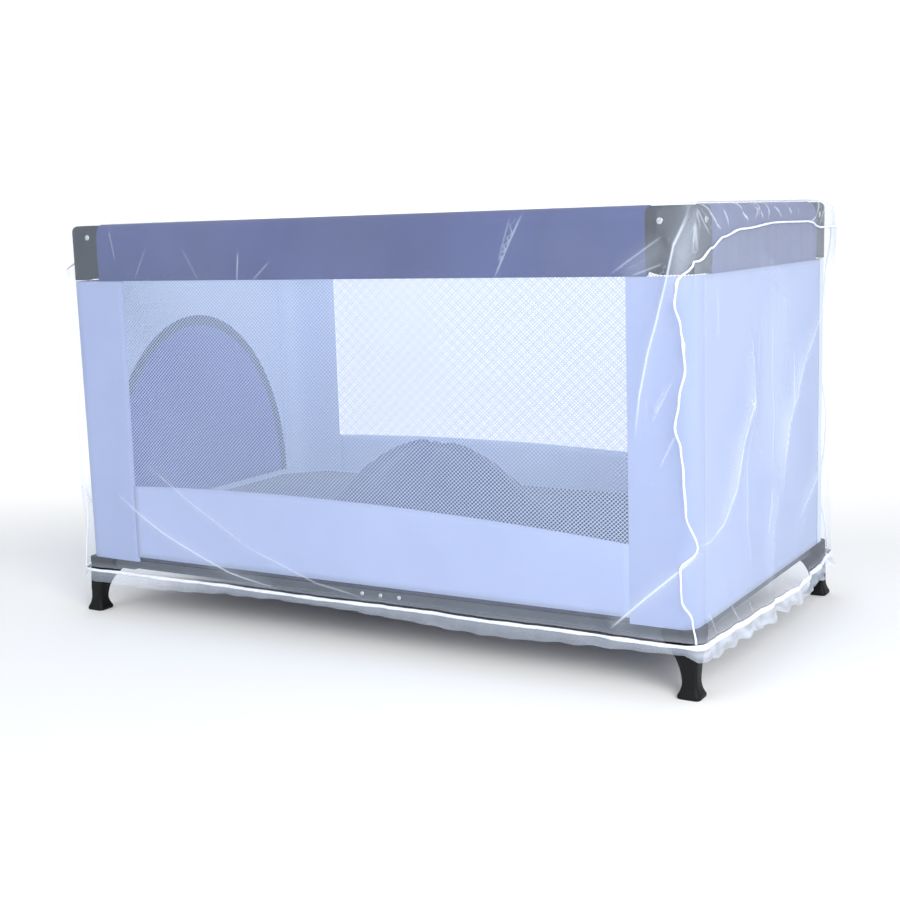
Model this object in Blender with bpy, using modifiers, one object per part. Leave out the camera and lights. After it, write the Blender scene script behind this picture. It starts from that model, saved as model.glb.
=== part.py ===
"""Crib mosquito net pulled over a folding travel cot.

Metres, +Z up. The origin lies on the floor under the middle of the cot, +X runs along its length
and -Y is its front. Each named object is one piece that a maker cuts, sews or fits.
"""

import bpy
import bmesh
from bisect import bisect_right
from math import atan2, cos, exp, hypot, pi, sin
from mathutils import Vector

# Cot
COT_LENGTH = 1.250
COT_WIDTH = 0.684
RAIL_TOP = 0.746
RAIL_BOTTOM = 0.641
RAIL_DEPTH = 0.038
RAIL_LIP = 0.012
RAIL_WAIST = 0.030
GAP = 0.0003
WALL_THICK = 0.004
WINDOW_LEFT = -0.498
WINDOW_RIGHT = 0.518
WINDOW_SILL = 0.2615
SILL_PEAK = -0.15
SILL_DROOP = 0.066
PANEL_BOTTOM = 0.116
SLEEVE_BOTTOM = 0.1065
SLEEVE_TOP = RAIL_BOTTOM - GAP
SLEEVE_THICK = 0.038
SLEEVE_ON_END = 0.046
CORNER_RADIUS = 0.024
CAP_SIDE = 0.075
CAP_TOP = 0.744
CAP_ROUND = 0.011
FOOT_INSET = 0.009
BAR_LOW = 0.0900
BAR_HIGH = 0.1060
BAR_DEPTH = 0.016
BAR_CENTRE = 0.325
END_BAR_CENTRE = 0.608
SOCKET_LENGTH = 0.050
SOCKET_DROP = 0.003
HINGE_X = 0.049
HINGE_LENGTH = 0.110
HINGE_THICK = 0.003
BOARD_TOP = 0.128
BOARD_SIZE = (0.612, 0.330, 0.100)
MATTRESS_TOP = 0.172
MATTRESS_SIZE = (0.602, 0.322, 0.075)
MATTRESS_ROUND = 0.010
ARCH_HALF_WIDTH = 0.290
ARCH_BOTTOM = 0.176
ARCH_RISE = 0.376
ARCH_BINDING = 0.016
ARCH_THICK = 0.002
BINDING_THICK = 0.004
HEAP_CENTRE = (-0.020, -0.030)
HEAP_HALF_LENGTH = 0.250
HEAP_HALF_WIDTH = 0.150
HEAP_HEIGHT = 0.150

# Net
NET_THICK = 0.0012
NET_HALF_LENGTH = 0.6305
NET_HALF_WIDTH = 0.3475
NET_TOP = RAIL_TOP + GAP
NET_ROUND = 0.018
NET_BOTTOM = 0.0890
ROOF_SAG = 0.012
SEAM_CORNER = 0.662
SEAM_RADIUS = 0.0019
SEAM_LIFT = 0.0008
LAP_START = 0.570
PLEAT_HEIGHT = 0.0040
PLEAT_PITCH = 0.027
HEM_LOW = 0.0765
HEM_THICK = 0.0030
HEM_CLEAR = 0.0008
HEM_TUCK = -0.008
END_BULGE = 0.022
FRILL_LONGEST = 0.026
FRILL_SHORTEST = 0.006
FRILL_FLARE = 0.011

# Rows and columns of the net's grid, as shares of the skirt's height, and metres across and along
SKIRT_ROWS = (0, 0.045, 0.10, 0.18, 0.27, 0.37, 0.48, 0.59, 0.70, 0.80, 0.89,
              1 - NET_ROUND / (NET_TOP - NET_BOTTOM), 1)
ROOF_STEPS = 12
FINE_CUTS = 3
MAIN_COLUMNS = 22
LAP_COLUMNS = 4

# Height of the end seam's arch above the floor, by place across the end
ARCH_SEAM = ((-0.3475, 0.662), (-0.295, 0.680), (-0.248, 0.695), (-0.164, 0.705), (0.0, 0.712),
             (0.171, 0.711), (0.261, 0.699), (0.3475, 0.700))

# How far from the cot's middle the corner seam wanders, by height
RIGHT_FRONT_SEAM = ((0.089, 0.627), (0.185, 0.607), (0.238, 0.629), (0.300, 0.613), (0.430, 0.598),
                    (0.545, 0.612), (0.615, 0.600), (0.662, 0.626))
PLAIN_SEAM = ((0.089, 0.626), (0.200, 0.612), (0.330, 0.622), (0.480, 0.606), (0.600, 0.616),
              (0.700, 0.626))

# Folds of the net: side, height, half width, and the line that each follows as (across, up)
FOLDS = (
    ("front", 0.011, 0.026, ((-0.525, 0.226), (-0.459, 0.200), (-0.346, 0.141), (-0.166, 0.084))),
    ("front", 0.009, 0.026, ((-0.434, 0.288), (-0.330, 0.227), (-0.191, 0.155), (-0.048, 0.107))),
    ("front", 0.008, 0.022, ((0.617, 0.745), (0.599, 0.665), (0.566, 0.563), (0.541, 0.457),
                             (0.533, 0.396))),
    ("front", 0.013, 0.026, ((0.630, 0.238), (0.607, 0.199), (0.545, 0.148), (0.486, 0.095))),
    ("front", 0.004, 0.022, ((-0.519, 0.726), (-0.462, 0.643))),
    ("front", 0.004, 0.022, ((-0.378, 0.723), (-0.462, 0.643))),
    ("front", 0.004, 0.020, ((0.341, 0.737), (0.316, 0.633))),
    ("front", 0.004, 0.022, ((0.567, 0.701), (0.478, 0.622))),
    ("right", 0.018, 0.034, ((-0.137, 0.435), (-0.230, 0.305), (-0.3475, 0.239))),
    ("right", 0.013, 0.030, ((0.324, 0.573), (0.165, 0.504), (0.080, 0.425), (0.043, 0.326))),
    ("right", 0.012, 0.030, ((0.3475, 0.330), (0.238, 0.095))),
    ("right", 0.008, 0.026, ((-0.200, 0.640), (-0.215, 0.480), (-0.190, 0.340))),
    ("right", 0.008, 0.026, ((-0.040, 0.300), (-0.030, 0.180), (-0.060, 0.095))),
    ("left", 0.016, 0.034, ((0.150, 0.420), (0.240, 0.300), (0.3475, 0.225))),
    ("left", 0.013, 0.030, ((-0.300, 0.560), (-0.160, 0.480), (-0.090, 0.330))),
    ("left", 0.010, 0.028, ((-0.020, 0.640), (-0.040, 0.430), (0.010, 0.260))),
    ("left", 0.010, 0.028, ((-0.3475, 0.260), (-0.220, 0.095))),
    ("back", 0.011, 0.028, ((0.540, 0.240), (0.430, 0.180), (0.250, 0.095))),
    ("back", 0.010, 0.028, ((-0.590, 0.600), (-0.545, 0.450), (-0.520, 0.330))),
    ("back", 0.010, 0.028, ((-0.600, 0.230), (-0.500, 0.150), (-0.400, 0.095))),
    ("back", 0.008, 0.028, ((0.600, 0.660), (0.555, 0.520), (0.540, 0.400))),
)


def start_collection():
    """Empties the scene and gives the collection that the parts go in."""
    for old in list(bpy.data.objects):
        bpy.data.objects.remove(old, do_unlink=True)
    parts = bpy.data.collections.new("crib_mosquito_net")
    bpy.context.scene.collection.children.link(parts)
    return parts


PARTS = start_collection()


def linear(channel):
    """One sRGB channel, 0 to 255, as the linear value that a shader takes."""
    share = channel / 255
    return share / 12.92 if share <= 0.04045 else ((share + 0.055) / 1.055) ** 2.4


def finish(name, colour, roughness, metallic=0.0, alpha=1.0):
    """A Principled material from a six-figure sRGB colour."""
    mat = bpy.data.materials.new(name)
    mat.use_nodes = True
    shader = mat.node_tree.nodes["Principled BSDF"]
    channels = [int(colour[at:at + 2], 16) for at in (0, 2, 4)]
    shader.inputs["Base Color"].default_value = [*(linear(c) for c in channels), 1]
    shader.inputs["Roughness"].default_value = roughness
    shader.inputs["Metallic"].default_value = metallic
    shader.inputs["Alpha"].default_value = alpha
    return mat


NET = finish("white_net", "E8F0FF", 0.7, alpha=0.4)
PIPING = finish("white_piping", "F4F8FF", 0.7)
RAIL_CLOTH = finish("slate_blue_cloth", "4A5490", 0.8)
PALE_CLOTH = finish("pale_blue_cloth", "B4C3E4", 0.8)
WINDOW_MESH = finish("window_mesh", "C8D4F0", 0.8, alpha=0.5)
DARK_CLOTH = finish("dark_slate_cloth", "4C5570", 0.85)
ARCH_CLOTH = finish("violet_cloth", "7A7FC0", 0.8)
CAP_PLASTIC = finish("grey_plastic", "3F474F", 0.5)
FOOT_PLASTIC = finish("black_plastic", "16181C", 0.45)
BAR_METAL = finish("dark_bar", "3A4048", 0.4, 0.6)


def add_mesh(name, bm, mat):
    """Links a finished bmesh as one smooth-shaded object."""
    bmesh.ops.recalc_face_normals(bm, faces=bm.faces)
    mesh = bpy.data.meshes.new(name)
    bm.to_mesh(mesh)
    bm.free()
    mesh.materials.append(mat)
    mesh.shade_smooth()
    mesh.set_sharp_from_angle(angle=0.7)
    made = bpy.data.objects.new(name, mesh)
    PARTS.objects.link(made)
    return made


def prism(name, outline, thickness, mat, place=(0, 0, 0), turn=(0, 0, 0), rounding=0.0):
    """A flat outline drawn as a 2D curve, centred on its plane and given a thickness."""
    curve = bpy.data.curves.new(name, "CURVE")
    curve.dimensions = "2D"
    curve.fill_mode = "BOTH"
    curve.extrude = thickness / 2 - rounding
    curve.bevel_depth = rounding
    curve.bevel_resolution = 1
    curve.offset = -rounding
    curve.render_resolution_u = 0
    spline = curve.splines.new("POLY")
    spline.points.add(len(outline) - 1)
    for point, (across, up) in zip(spline.points, outline):
        point.co = (across, up, 0, 1)
    spline.use_cyclic_u = True
    curve.materials.append(mat)
    made = bpy.data.objects.new(name, curve)
    made.location = place
    made.rotation_euler = turn
    PARTS.objects.link(made)
    return made


FACE_FRONT = (pi / 2, 0, 0)
FACE_END = (pi / 2, 0, pi / 2)


def arc(centre, radius, start, end, steps):
    """Points along an arc, both ends included; angles in quarter turns."""
    angles = (pi / 2 * (start + (end - start) * step / steps) for step in range(steps + 1))
    return [(centre[0] + radius * cos(a), centre[1] + radius * sin(a)) for a in angles]


def eased(table, at):
    """A smooth value between the rows of a table of (place, value)."""
    if at <= table[0][0]:
        return table[0][1]
    if at >= table[-1][0]:
        return table[-1][1]
    row = bisect_right([place for place, value in table], at)
    (low, from_value), (high, to_value) = table[row - 1], table[row]
    share = (1 - cos(pi * (at - low) / (high - low))) / 2
    return from_value + (to_value - from_value) * share


def sill(x):
    """Height of the window's lower edge, which droops to both sides of its peak."""
    return WINDOW_SILL - SILL_DROOP * (x - SILL_PEAK) ** 2


def rail_covers():
    """Padded covers of the four top rails: round on top and drawn in to a thin lower edge."""
    half = RAIL_DEPTH / 2
    middle = RAIL_TOP - half
    section = [(0, RAIL_BOTTOM), (0, middle), *arc((half, middle), half, 2, 0, 6)[1:],
               (half * 1.4, RAIL_BOTTOM + RAIL_WAIST), (RAIL_LIP, RAIL_BOTTOM)]
    long_run = COT_LENGTH - 2 * CAP_SIDE - 2 * GAP
    short_run = COT_WIDTH - 2 * CAP_SIDE - 2 * GAP
    prism("rail_cover_front", section, long_run, RAIL_CLOTH, (0, -COT_WIDTH / 2, 0), FACE_END)
    prism("rail_cover_back", section, long_run, RAIL_CLOTH, (0, COT_WIDTH / 2, 0),
          (pi / 2, 0, -pi / 2))
    prism("rail_cover_left", section, short_run, RAIL_CLOTH, (-COT_LENGTH / 2, 0, 0), FACE_FRONT)
    prism("rail_cover_right", section, short_run, RAIL_CLOTH, (COT_LENGTH / 2, 0, 0),
          (pi / 2, 0, pi))


def cap_outline(sx, sy):
    """A corner cap from above: round outside, cut across inside."""
    x, y = COT_LENGTH / 2, COT_WIDTH / 2
    corner = arc((x - CORNER_RADIUS, y - CORNER_RADIUS), CORNER_RADIUS, 0, 1, 5)
    points = [(x, y - CAP_SIDE), *corner, (x - CAP_SIDE, y), (x - CAP_SIDE, y - RAIL_DEPTH),
              (x - RAIL_DEPTH, y - CAP_SIDE)]
    points = [(sx * px, sy * py) for px, py in points]
    return points if sx * sy > 0 else points[::-1]


def corner_caps():
    """Moulded caps that hold two rails and a post together."""
    tall = CAP_TOP - RAIL_BOTTOM
    for name, sx, sy in CORNERS:
        prism("corner_cap_" + name, cap_outline(sx, sy), tall, CAP_PLASTIC,
              (0, 0, RAIL_BOTTOM + tall / 2), rounding=CAP_ROUND)


CORNERS = (("front_right", 1, -1), ("front_left", -1, -1), ("back_right", 1, 1), ("back_left", -1, 1))


def corner_sleeves():
    """Fabric round each post: thick at the corner, thin where it meets the window."""
    for name, sx, sy in CORNERS:
        x, y = COT_LENGTH / 2, COT_WIDTH / 2
        edge = (WINDOW_RIGHT if sx > 0 else -WINDOW_LEFT) + GAP
        corner = arc((x - CORNER_RADIUS, y - CORNER_RADIUS), CORNER_RADIUS, 0, 1, 5)
        points = [(x, y - SLEEVE_ON_END), *corner, (edge, y), (edge, y - WALL_THICK),
                  (x - SLEEVE_THICK, y - SLEEVE_THICK), (x - WALL_THICK, y - SLEEVE_ON_END)]
        points = [(sx * px, sy * py) for px, py in points]
        if sx * sy < 0:
            points.reverse()
        tall = SLEEVE_TOP - SLEEVE_BOTTOM
        prism("corner_sleeve_" + name, points, tall, PALE_CLOTH, (0, 0, SLEEVE_BOTTOM + tall / 2))


def long_walls():
    """Lower fabric panel and window of open mesh, front and back."""
    steps = 8
    span = WINDOW_RIGHT - WINDOW_LEFT
    edge = [WINDOW_LEFT + span * step / steps for step in range(steps + 1)]
    sill_line = [(x, sill(x)) for x in edge]
    panel = [(WINDOW_LEFT, PANEL_BOTTOM), (WINDOW_RIGHT, PANEL_BOTTOM), *sill_line[::-1]]
    window = [*((x, z + GAP) for x, z in sill_line), (WINDOW_RIGHT, SLEEVE_TOP),
              (WINDOW_LEFT, SLEEVE_TOP)]
    for name, side in (("front", -1), ("back", 1)):
        wall = side * (COT_WIDTH - WALL_THICK) / 2
        prism("lower_panel_" + name, panel, WALL_THICK, PALE_CLOTH, (0, wall, 0), FACE_FRONT)
        prism("window_mesh_" + name, window, NET_THICK, WINDOW_MESH, (0, wall, 0), FACE_FRONT)


def end_walls():
    """Plain fabric walls at both ends."""
    half = COT_WIDTH / 2 - SLEEVE_ON_END - GAP
    outline = [(-half, SLEEVE_BOTTOM), (half, SLEEVE_BOTTOM), (half, SLEEVE_TOP), (-half, SLEEVE_TOP)]
    for name, side in (("left", -1), ("right", 1)):
        prism("end_wall_" + name, outline, WALL_THICK, PALE_CLOTH,
              (side * (COT_LENGTH - WALL_THICK) / 2, 0, 0), FACE_END)


def half_ellipse(half_width, rise, steps):
    """An arch from its right foot over the top to its left foot."""
    angles = (pi * step / steps for step in range(steps + 1))
    return [(half_width * cos(a), ARCH_BOTTOM + rise * sin(a)) for a in angles]


def arch_panel():
    """Arched panel on the inside of the left end wall, with a thicker binding round it."""
    inner = half_ellipse(ARCH_HALF_WIDTH - ARCH_BINDING - GAP, ARCH_RISE - ARCH_BINDING - GAP, 16)
    rim = half_ellipse(ARCH_HALF_WIDTH, ARCH_RISE, 16)
    rim_inside = half_ellipse(ARCH_HALF_WIDTH - ARCH_BINDING, ARCH_RISE - ARCH_BINDING, 16)
    face = -COT_LENGTH / 2 + WALL_THICK + GAP
    prism("arch_panel", inner, ARCH_THICK, ARCH_CLOTH, (face + ARCH_THICK / 2, 0, 0), FACE_END)
    prism("arch_binding", rim + rim_inside[::-1], BINDING_THICK, DARK_CLOTH,
          (face + BINDING_THICK / 2, 0, 0), FACE_END)


def cut_corner_outline(half_x, half_y, cut):
    """A rectangle with its corners cut across."""
    return [(half_x, cut - half_y), (half_x, half_y - cut), (half_x - cut, half_y),
            (cut - half_x, half_y), (-half_x, half_y - cut), (-half_x, cut - half_y),
            (cut - half_x, -half_y), (half_x - cut, -half_y)]


def base_and_mattress():
    """Stiff base board on the lower bars, and the mattress on it."""
    low = BAR_HIGH + GAP
    board = cut_corner_outline(*BOARD_SIZE)
    prism("base_board", board, BOARD_TOP - low, DARK_CLOTH, (0, 0, (BOARD_TOP + low) / 2))
    low = BOARD_TOP + GAP
    pad = cut_corner_outline(*MATTRESS_SIZE)
    prism("mattress", pad, MATTRESS_TOP - low, DARK_CLOTH, (0, 0, (MATTRESS_TOP + low) / 2),
          rounding=MATTRESS_ROUND)


def heap_height(x, y):
    """Height of the bunched cover over the mattress: a broad mound, drawn together at its top."""
    long_share, short_share = x / HEAP_HALF_LENGTH, y / HEAP_HALF_WIDTH
    away = hypot(long_share, short_share)
    mound = HEAP_HEIGHT * max(0.0, 1 - away ** 1.7)
    spread = min(1.0, away * 2.2)
    creases = cos(7 * atan2(short_share, long_share) + 0.6) * 0.012 * spread * max(0.0, 1 - away)
    pinch = 0.026 * exp(-((x - 0.012) / 0.020) ** 2) * exp(-((y + 0.080) / 0.090) ** 2)
    return max(0.004, mound + creases - pinch)


def bunched_cover():
    """A soft cover heaped in the middle of the mattress, one closed body with a flat bottom."""
    bm = bmesh.new()
    base = MATTRESS_TOP + GAP
    bmesh.ops.create_circle(bm, cap_ends=True, segments=22, radius=1.0)
    rim = bm.faces[:][0]
    for share in (0.82, 0.62, 0.42, 0.20):
        bmesh.ops.inset_individual(bm, faces=[rim], thickness=0.0)
        ring = rim.verts[:]
        now = hypot(ring[0].co.x, ring[0].co.y)
        for vert in ring:
            vert.co *= share / now
    bmesh.ops.poke(bm, faces=[rim])
    bottom = bmesh.ops.extrude_face_region(bm, geom=bm.faces[:])
    lifted = [item for item in bottom["geom"] if isinstance(item, bmesh.types.BMVert)]
    for vert in bm.verts:
        vert.co.x *= HEAP_HALF_LENGTH
        vert.co.y *= HEAP_HALF_WIDTH
        vert.co.z = base
    for vert in lifted:
        vert.co.z = base + heap_height(vert.co.x, vert.co.y)
    bmesh.ops.translate(bm, verts=bm.verts, vec=(*HEAP_CENTRE, 0))
    add_mesh("bunched_cover", bm, DARK_CLOTH)


# Foot sections: height, half width, and how far its middle lies towards the cot's middle
FOOT_SECTIONS = ((0.0, 0.0190, 0.0), (0.004, 0.0190, 0.0), (0.014, 0.0145, 0.0),
                 (0.026, 0.0125, 0.0), (0.045, 0.0145, 0.0020), (0.062, 0.0185, 0.0060),
                 (0.078, 0.0250, 0.0125), (0.0895, 0.0300, 0.0175), (0.1062, 0.0300, 0.0175))


def feet():
    """Waisted plastic feet: flared at the floor and widening to a block under the post."""
    for name, sx, sy in CORNERS:
        bm = bmesh.new()
        bmesh.ops.create_grid(bm, x_segments=1, y_segments=1, size=1.0)
        bmesh.ops.bevel(bm, geom=bm.verts[:], offset=0.4, segments=2, profile=0.5,
                        affect="VERTICES", material=-1)
        section = bm.faces[:][0]
        first = [vert.co.copy() for vert in section.verts]
        for height, half, shift in FOOT_SECTIONS:
            if height > 0:
                section = bmesh.ops.extrude_discrete_faces(bm, faces=[section])["faces"][0]
            for vert, start in zip(section.verts, first):
                vert.co = (sx * (COT_LENGTH / 2 - FOOT_INSET - shift) + start.x * half,
                           sy * (COT_WIDTH / 2 - FOOT_INSET - shift) + start.y * half, height)
        floor = bmesh.ops.holes_fill(bm, edges=[edge for edge in bm.edges if edge.is_boundary])
        bmesh.ops.triangulate(bm, faces=floor["faces"])
        add_mesh("foot_" + name, bm, FOOT_PLASTIC)


def lower_bars():
    """Bars between the feet, each with a thicker socket at both ends."""
    top, half, shift = FOOT_SECTIONS[-1]
    foot_inner = FOOT_INSET + shift + half + GAP
    for name, side, half_run, across in (("front", -1, COT_LENGTH / 2 - foot_inner, BAR_CENTRE),
                                         ("back", 1, COT_LENGTH / 2 - foot_inner, BAR_CENTRE),
                                         ("left", -1, COT_WIDTH / 2 - foot_inner, END_BAR_CENTRE),
                                         ("right", 1, COT_WIDTH / 2 - foot_inner, END_BAR_CENTRE)):
        neck = half_run - SOCKET_LENGTH
        low, high = BAR_LOW, BAR_HIGH
        socket = low - SOCKET_DROP
        outline = [(-half_run, socket), (-neck, socket), (-neck, low), (neck, low),
                   (neck, socket), (half_run, socket), (half_run, high), (-half_run, high)]
        along = name in ("front", "back")
        place = (0, side * across, 0) if along else (side * across, 0, 0)
        prism("lower_bar_" + name, outline, BAR_DEPTH, BAR_METAL, place,
              FACE_FRONT if along else FACE_END)


def hinge_brackets():
    """Folded plate under the middle of each long bar, where the cot folds."""
    low = BAR_LOW - GAP
    section = [(0, low - HINGE_THICK), (BAR_DEPTH, low - HINGE_THICK), (BAR_DEPTH, low), (0, low)]
    for name, side in (("front", -1), ("back", 1)):
        place = (HINGE_X, side * BAR_CENTRE - BAR_DEPTH / 2, 0)
        prism("hinge_bracket_" + name, section, HINGE_LENGTH, BAR_METAL, place, FACE_END)


def distance_to_line(point, line):
    """Shortest distance from a flat point to a line of points, and how far along it that is."""
    best, along, length = 9.0, 0.0, 0.0
    for start, end in zip(line, line[1:]):
        dx, dz = end[0] - start[0], end[1] - start[1]
        run = hypot(dx, dz)
        share = ((point[0] - start[0]) * dx + (point[1] - start[1]) * dz) / run ** 2
        share = min(1.0, max(0.0, share))
        off = hypot(point[0] - start[0] - share * dx, point[1] - start[1] - share * dz)
        if off < best:
            best, along = off, length + share * run
        length += run
    return best, along / length


def folds_on(side, across, up):
    """Outward lift of the net's folds on one side of the cot."""
    lift = 0.0
    for where, height, width, line in FOLDS:
        if where == side:
            off, along = distance_to_line((across, up), line)
            lift += height * exp(-(off / width) ** 2) * (0.55 + 0.45 * sin(pi * along))
    return lift


def hem_offset(side, across):
    """How far the hem lies outside the net's upright face: drawn in on the long sides."""
    if side in ("front", "back"):
        middle = max(0.0, 1 - (abs(across) / 0.585) ** 6)
        return HEM_TUCK * middle * (0.75 + 0.25 * sin(across * 17))
    middle = max(0.0, 1 - (abs(across) / 0.315) ** 2)
    lean = 1 + 0.35 * sin(across * 9 + (0.4 if side == "right" else 2.0))
    return END_BULGE * middle ** 0.8 * min(lean, 1.25) / 1.25 + 0.003


def side_lift(side, across, up):
    """Outward lift of one side of the net: folds, slack waves, and the way down to the hem."""
    slack = 0.0012 * (1 + sin(across * 21 + up * 9) * cos(up * 13 - across * 5))
    at_hem = hem_offset(side, across)
    fall = max(0.0, 1 - (up - NET_BOTTOM) / (0.028 if at_hem < 0 else 0.42))
    return folds_on(side, across, up) * min(1.0, fall_free(up)) + slack + at_hem * fall ** 1.5


def fall_free(up):
    """Folds flatten into the hem."""
    return 0.35 + 0.65 * min(1.0, (up - NET_BOTTOM) / 0.05)


def on_net(point):
    """Moves a point near the cot onto the net's rounded form and its folds."""
    inner = Vector((min(max(point.x, NET_ROUND - NET_HALF_LENGTH), NET_HALF_LENGTH - NET_ROUND),
                    min(max(point.y, NET_ROUND - NET_HALF_WIDTH), NET_HALF_WIDTH - NET_ROUND),
                    min(point.z, NET_TOP - NET_ROUND)))
    out = (point - inner).normalized()
    at = inner + out * NET_ROUND
    lift = 0.0
    if abs(out.y) > 0.01:
        lift += out.y ** 2 * side_lift("front" if out.y < 0 else "back", at.x, at.z)
    if abs(out.x) > 0.01:
        lift += out.x ** 2 * side_lift("left" if out.x < 0 else "right", at.y, at.z)
    if out.z > 0.01:
        free_x = max(0.0, 1 - (at.x / 0.56) ** 4)
        free_y = max(0.0, 1 - (at.y / 0.28) ** 2)
        lift -= out.z ** 2 * ROOF_SAG * free_x * free_y
    return at + out * lift, out


def seam_point(along, side):
    """A point on an end seam, side +1 right and -1 left.

    along is -1 to 0 up the front corner, 0 to 1 over the end and 1 to 2 down the back corner.
    """
    end_top = ARCH_SEAM[-1][1]
    if along <= 0:
        up = NET_BOTTOM + (SEAM_CORNER - NET_BOTTOM) * (along + 1)
        table = RIGHT_FRONT_SEAM if side > 0 else PLAIN_SEAM
        return Vector((side * eased(table, up), -NET_HALF_WIDTH, up))
    if along < 1:
        y = NET_HALF_WIDTH * (2 * along - 1)
        return Vector((side * NET_HALF_LENGTH, y, eased(ARCH_SEAM, y)))
    up = end_top + (NET_BOTTOM - end_top) * (along - 1)
    return Vector((side * eased(PLAIN_SEAM, up), NET_HALF_WIDTH, up))


def roof_shares():
    """Places of the roof's rows as shares of the cot's width, closer at both edges."""
    flat = NET_HALF_WIDTH - NET_ROUND
    step = 2 * flat / ROOF_STEPS
    ys = [-NET_HALF_WIDTH, *(-flat + step * n for n in range(ROOF_STEPS + 1)), NET_HALF_WIDTH]
    return [(y / NET_HALF_WIDTH + 1) / 2 for y in ys]


def wrap_rows():
    """Rows of the wrap panel in the seam's measure, from the front hem to the back one."""
    front = [share - 1 for share in SKIRT_ROWS]
    back = [2 - share for share in reversed(SKIRT_ROWS)]
    return front + roof_shares()[1:-1] + back


def wrap_columns():
    """Columns of the wrap panel: along the cot to the lap's start, then 1 more for each lap."""
    main = [LAP_START * (2 * n / MAIN_COLUMNS - 1) for n in range(MAIN_COLUMNS + 1)]
    laps = [LAP_START + n + 1 for n in range(LAP_COLUMNS)]
    return [-lap for lap in reversed(laps)] + main + laps


def over_the_cot(x, along):
    """A point on the straight way over the cot, before it is rounded."""
    if along <= 0:
        return Vector((x, -NET_HALF_WIDTH, NET_BOTTOM + (NET_TOP - NET_BOTTOM) * (along + 1)))
    if along < 1:
        return Vector((x, NET_HALF_WIDTH * (2 * along - 1), NET_TOP))
    return Vector((x, NET_HALF_WIDTH, NET_TOP + (NET_BOTTOM - NET_TOP) * (along - 1)))


def pleat(along, share):
    """Height of the short pleats where the lap is gathered to the arched seam."""
    if not 0 < along < 1:
        return 0.0
    y = NET_HALF_WIDTH * (2 * along - 1)
    wave = 1 - 2 * abs((y / PLEAT_PITCH + 0.3 * sin(y * 11)) % 1 - 0.5)
    at_corner = min(1.0, 8 * along, 8 - 8 * along)
    return PLEAT_HEIGHT * wave * at_corner * sin(pi * share / LAP_COLUMNS)


def wrap_point(column, along):
    """A point of the wrap panel: front, roof and back in one, lapped over both ends."""
    side = 1 if column >= 0 else -1
    share = abs(column) - LAP_START
    if share <= 0:
        return on_net(over_the_cot(column, along))[0]
    seam = seam_point(along, side)
    seam += (GAP * Vector((0, 0, 1))) if 0 < along < 1 else (GAP * Vector((-side, 0, 0)))
    start = over_the_cot(side * LAP_START, along)
    if 0 <= along <= 1:
        flat_end = Vector((side * (NET_HALF_LENGTH - NET_ROUND), start.y, NET_TOP))
        edge = Vector((side * NET_HALF_LENGTH, start.y, NET_TOP))
        below = Vector((side * NET_HALF_LENGTH, start.y, NET_TOP - NET_ROUND))
        path = (start, flat_end, edge, below, seam)
    else:
        path = [start.lerp(seam, n / LAP_COLUMNS) for n in range(LAP_COLUMNS + 1)]
    low = min(int(share + 1e-6), LAP_COLUMNS - 1)
    at, out = on_net(path[low].lerp(path[low + 1], share - low))
    return at + out * pleat(along, share)


def end_columns():
    """Columns of an end panel: front seam, round the corner, across, and round to the back seam."""
    return [-1.0] + roof_shares() + [2.0]


def end_point(column, share, side):
    """A point of an end panel at a share of the way up to the seam."""
    if column < 0:
        seam = seam_point(share - 1, side)
        corner = Vector((side * NET_HALF_LENGTH, -NET_HALF_WIDTH, seam.z))
        reach = column + 1
        seam.x += side * GAP
    elif column > 1:
        seam = seam_point(2 - share, side)
        corner = Vector((side * NET_HALF_LENGTH, NET_HALF_WIDTH, seam.z))
        reach = 2 - column
        seam.x += side * GAP
    else:
        y = NET_HALF_WIDTH * (2 * column - 1)
        top = eased(ARCH_SEAM, y)
        up = NET_BOTTOM + (top - NET_BOTTOM) * share - (GAP if share == 1 else 0)
        return on_net(Vector((side * NET_HALF_LENGTH, y, up)))[0]
    return on_net(seam * (1 - reach) + corner * reach)[0]


def between(table, index):
    """The value at a whole or part index of a list."""
    low = min(int(index + 1e-6), len(table) - 2)
    return table[low] + (table[low + 1] - table[low]) * (index - low)


def cloth(name, columns, rows, shape, fine, mat):
    """A sheet cut as a flat grid, made finer where fine says so, bent to shape and thickened."""
    bm = bmesh.new()
    across, up = len(columns) - 1, len(rows) - 1
    bmesh.ops.create_grid(bm, x_segments=across, y_segments=up, size=1.0)
    for vert in bm.verts:
        vert.co = ((vert.co.x + 1) / 2 * across, (vert.co.y + 1) / 2 * up, 0)
    chosen = []
    for edge in bm.edges:
        a, b = edge.verts[0].co, edge.verts[1].co
        if fine((a.x + b.x) / 2, (a.y + b.y) / 2, abs(a.x - b.x) > 0.5):
            chosen.append(edge)
    bmesh.ops.subdivide_edges(bm, edges=chosen, cuts=FINE_CUTS, use_grid_fill=True)
    for vert in bm.verts:
        vert.co = shape(between(columns, vert.co.x), between(rows, vert.co.y))
    mesh = bpy.data.meshes.new(name)
    bm.to_mesh(mesh)
    bm.free()
    mesh.materials.append(mat)
    mesh.shade_smooth()
    made = bpy.data.objects.new(name, mesh)
    PARTS.objects.link(made)
    thick = made.modifiers.new("thickness", "SOLIDIFY")
    thick.thickness = NET_THICK
    thick.offset = 1
    return made


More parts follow.
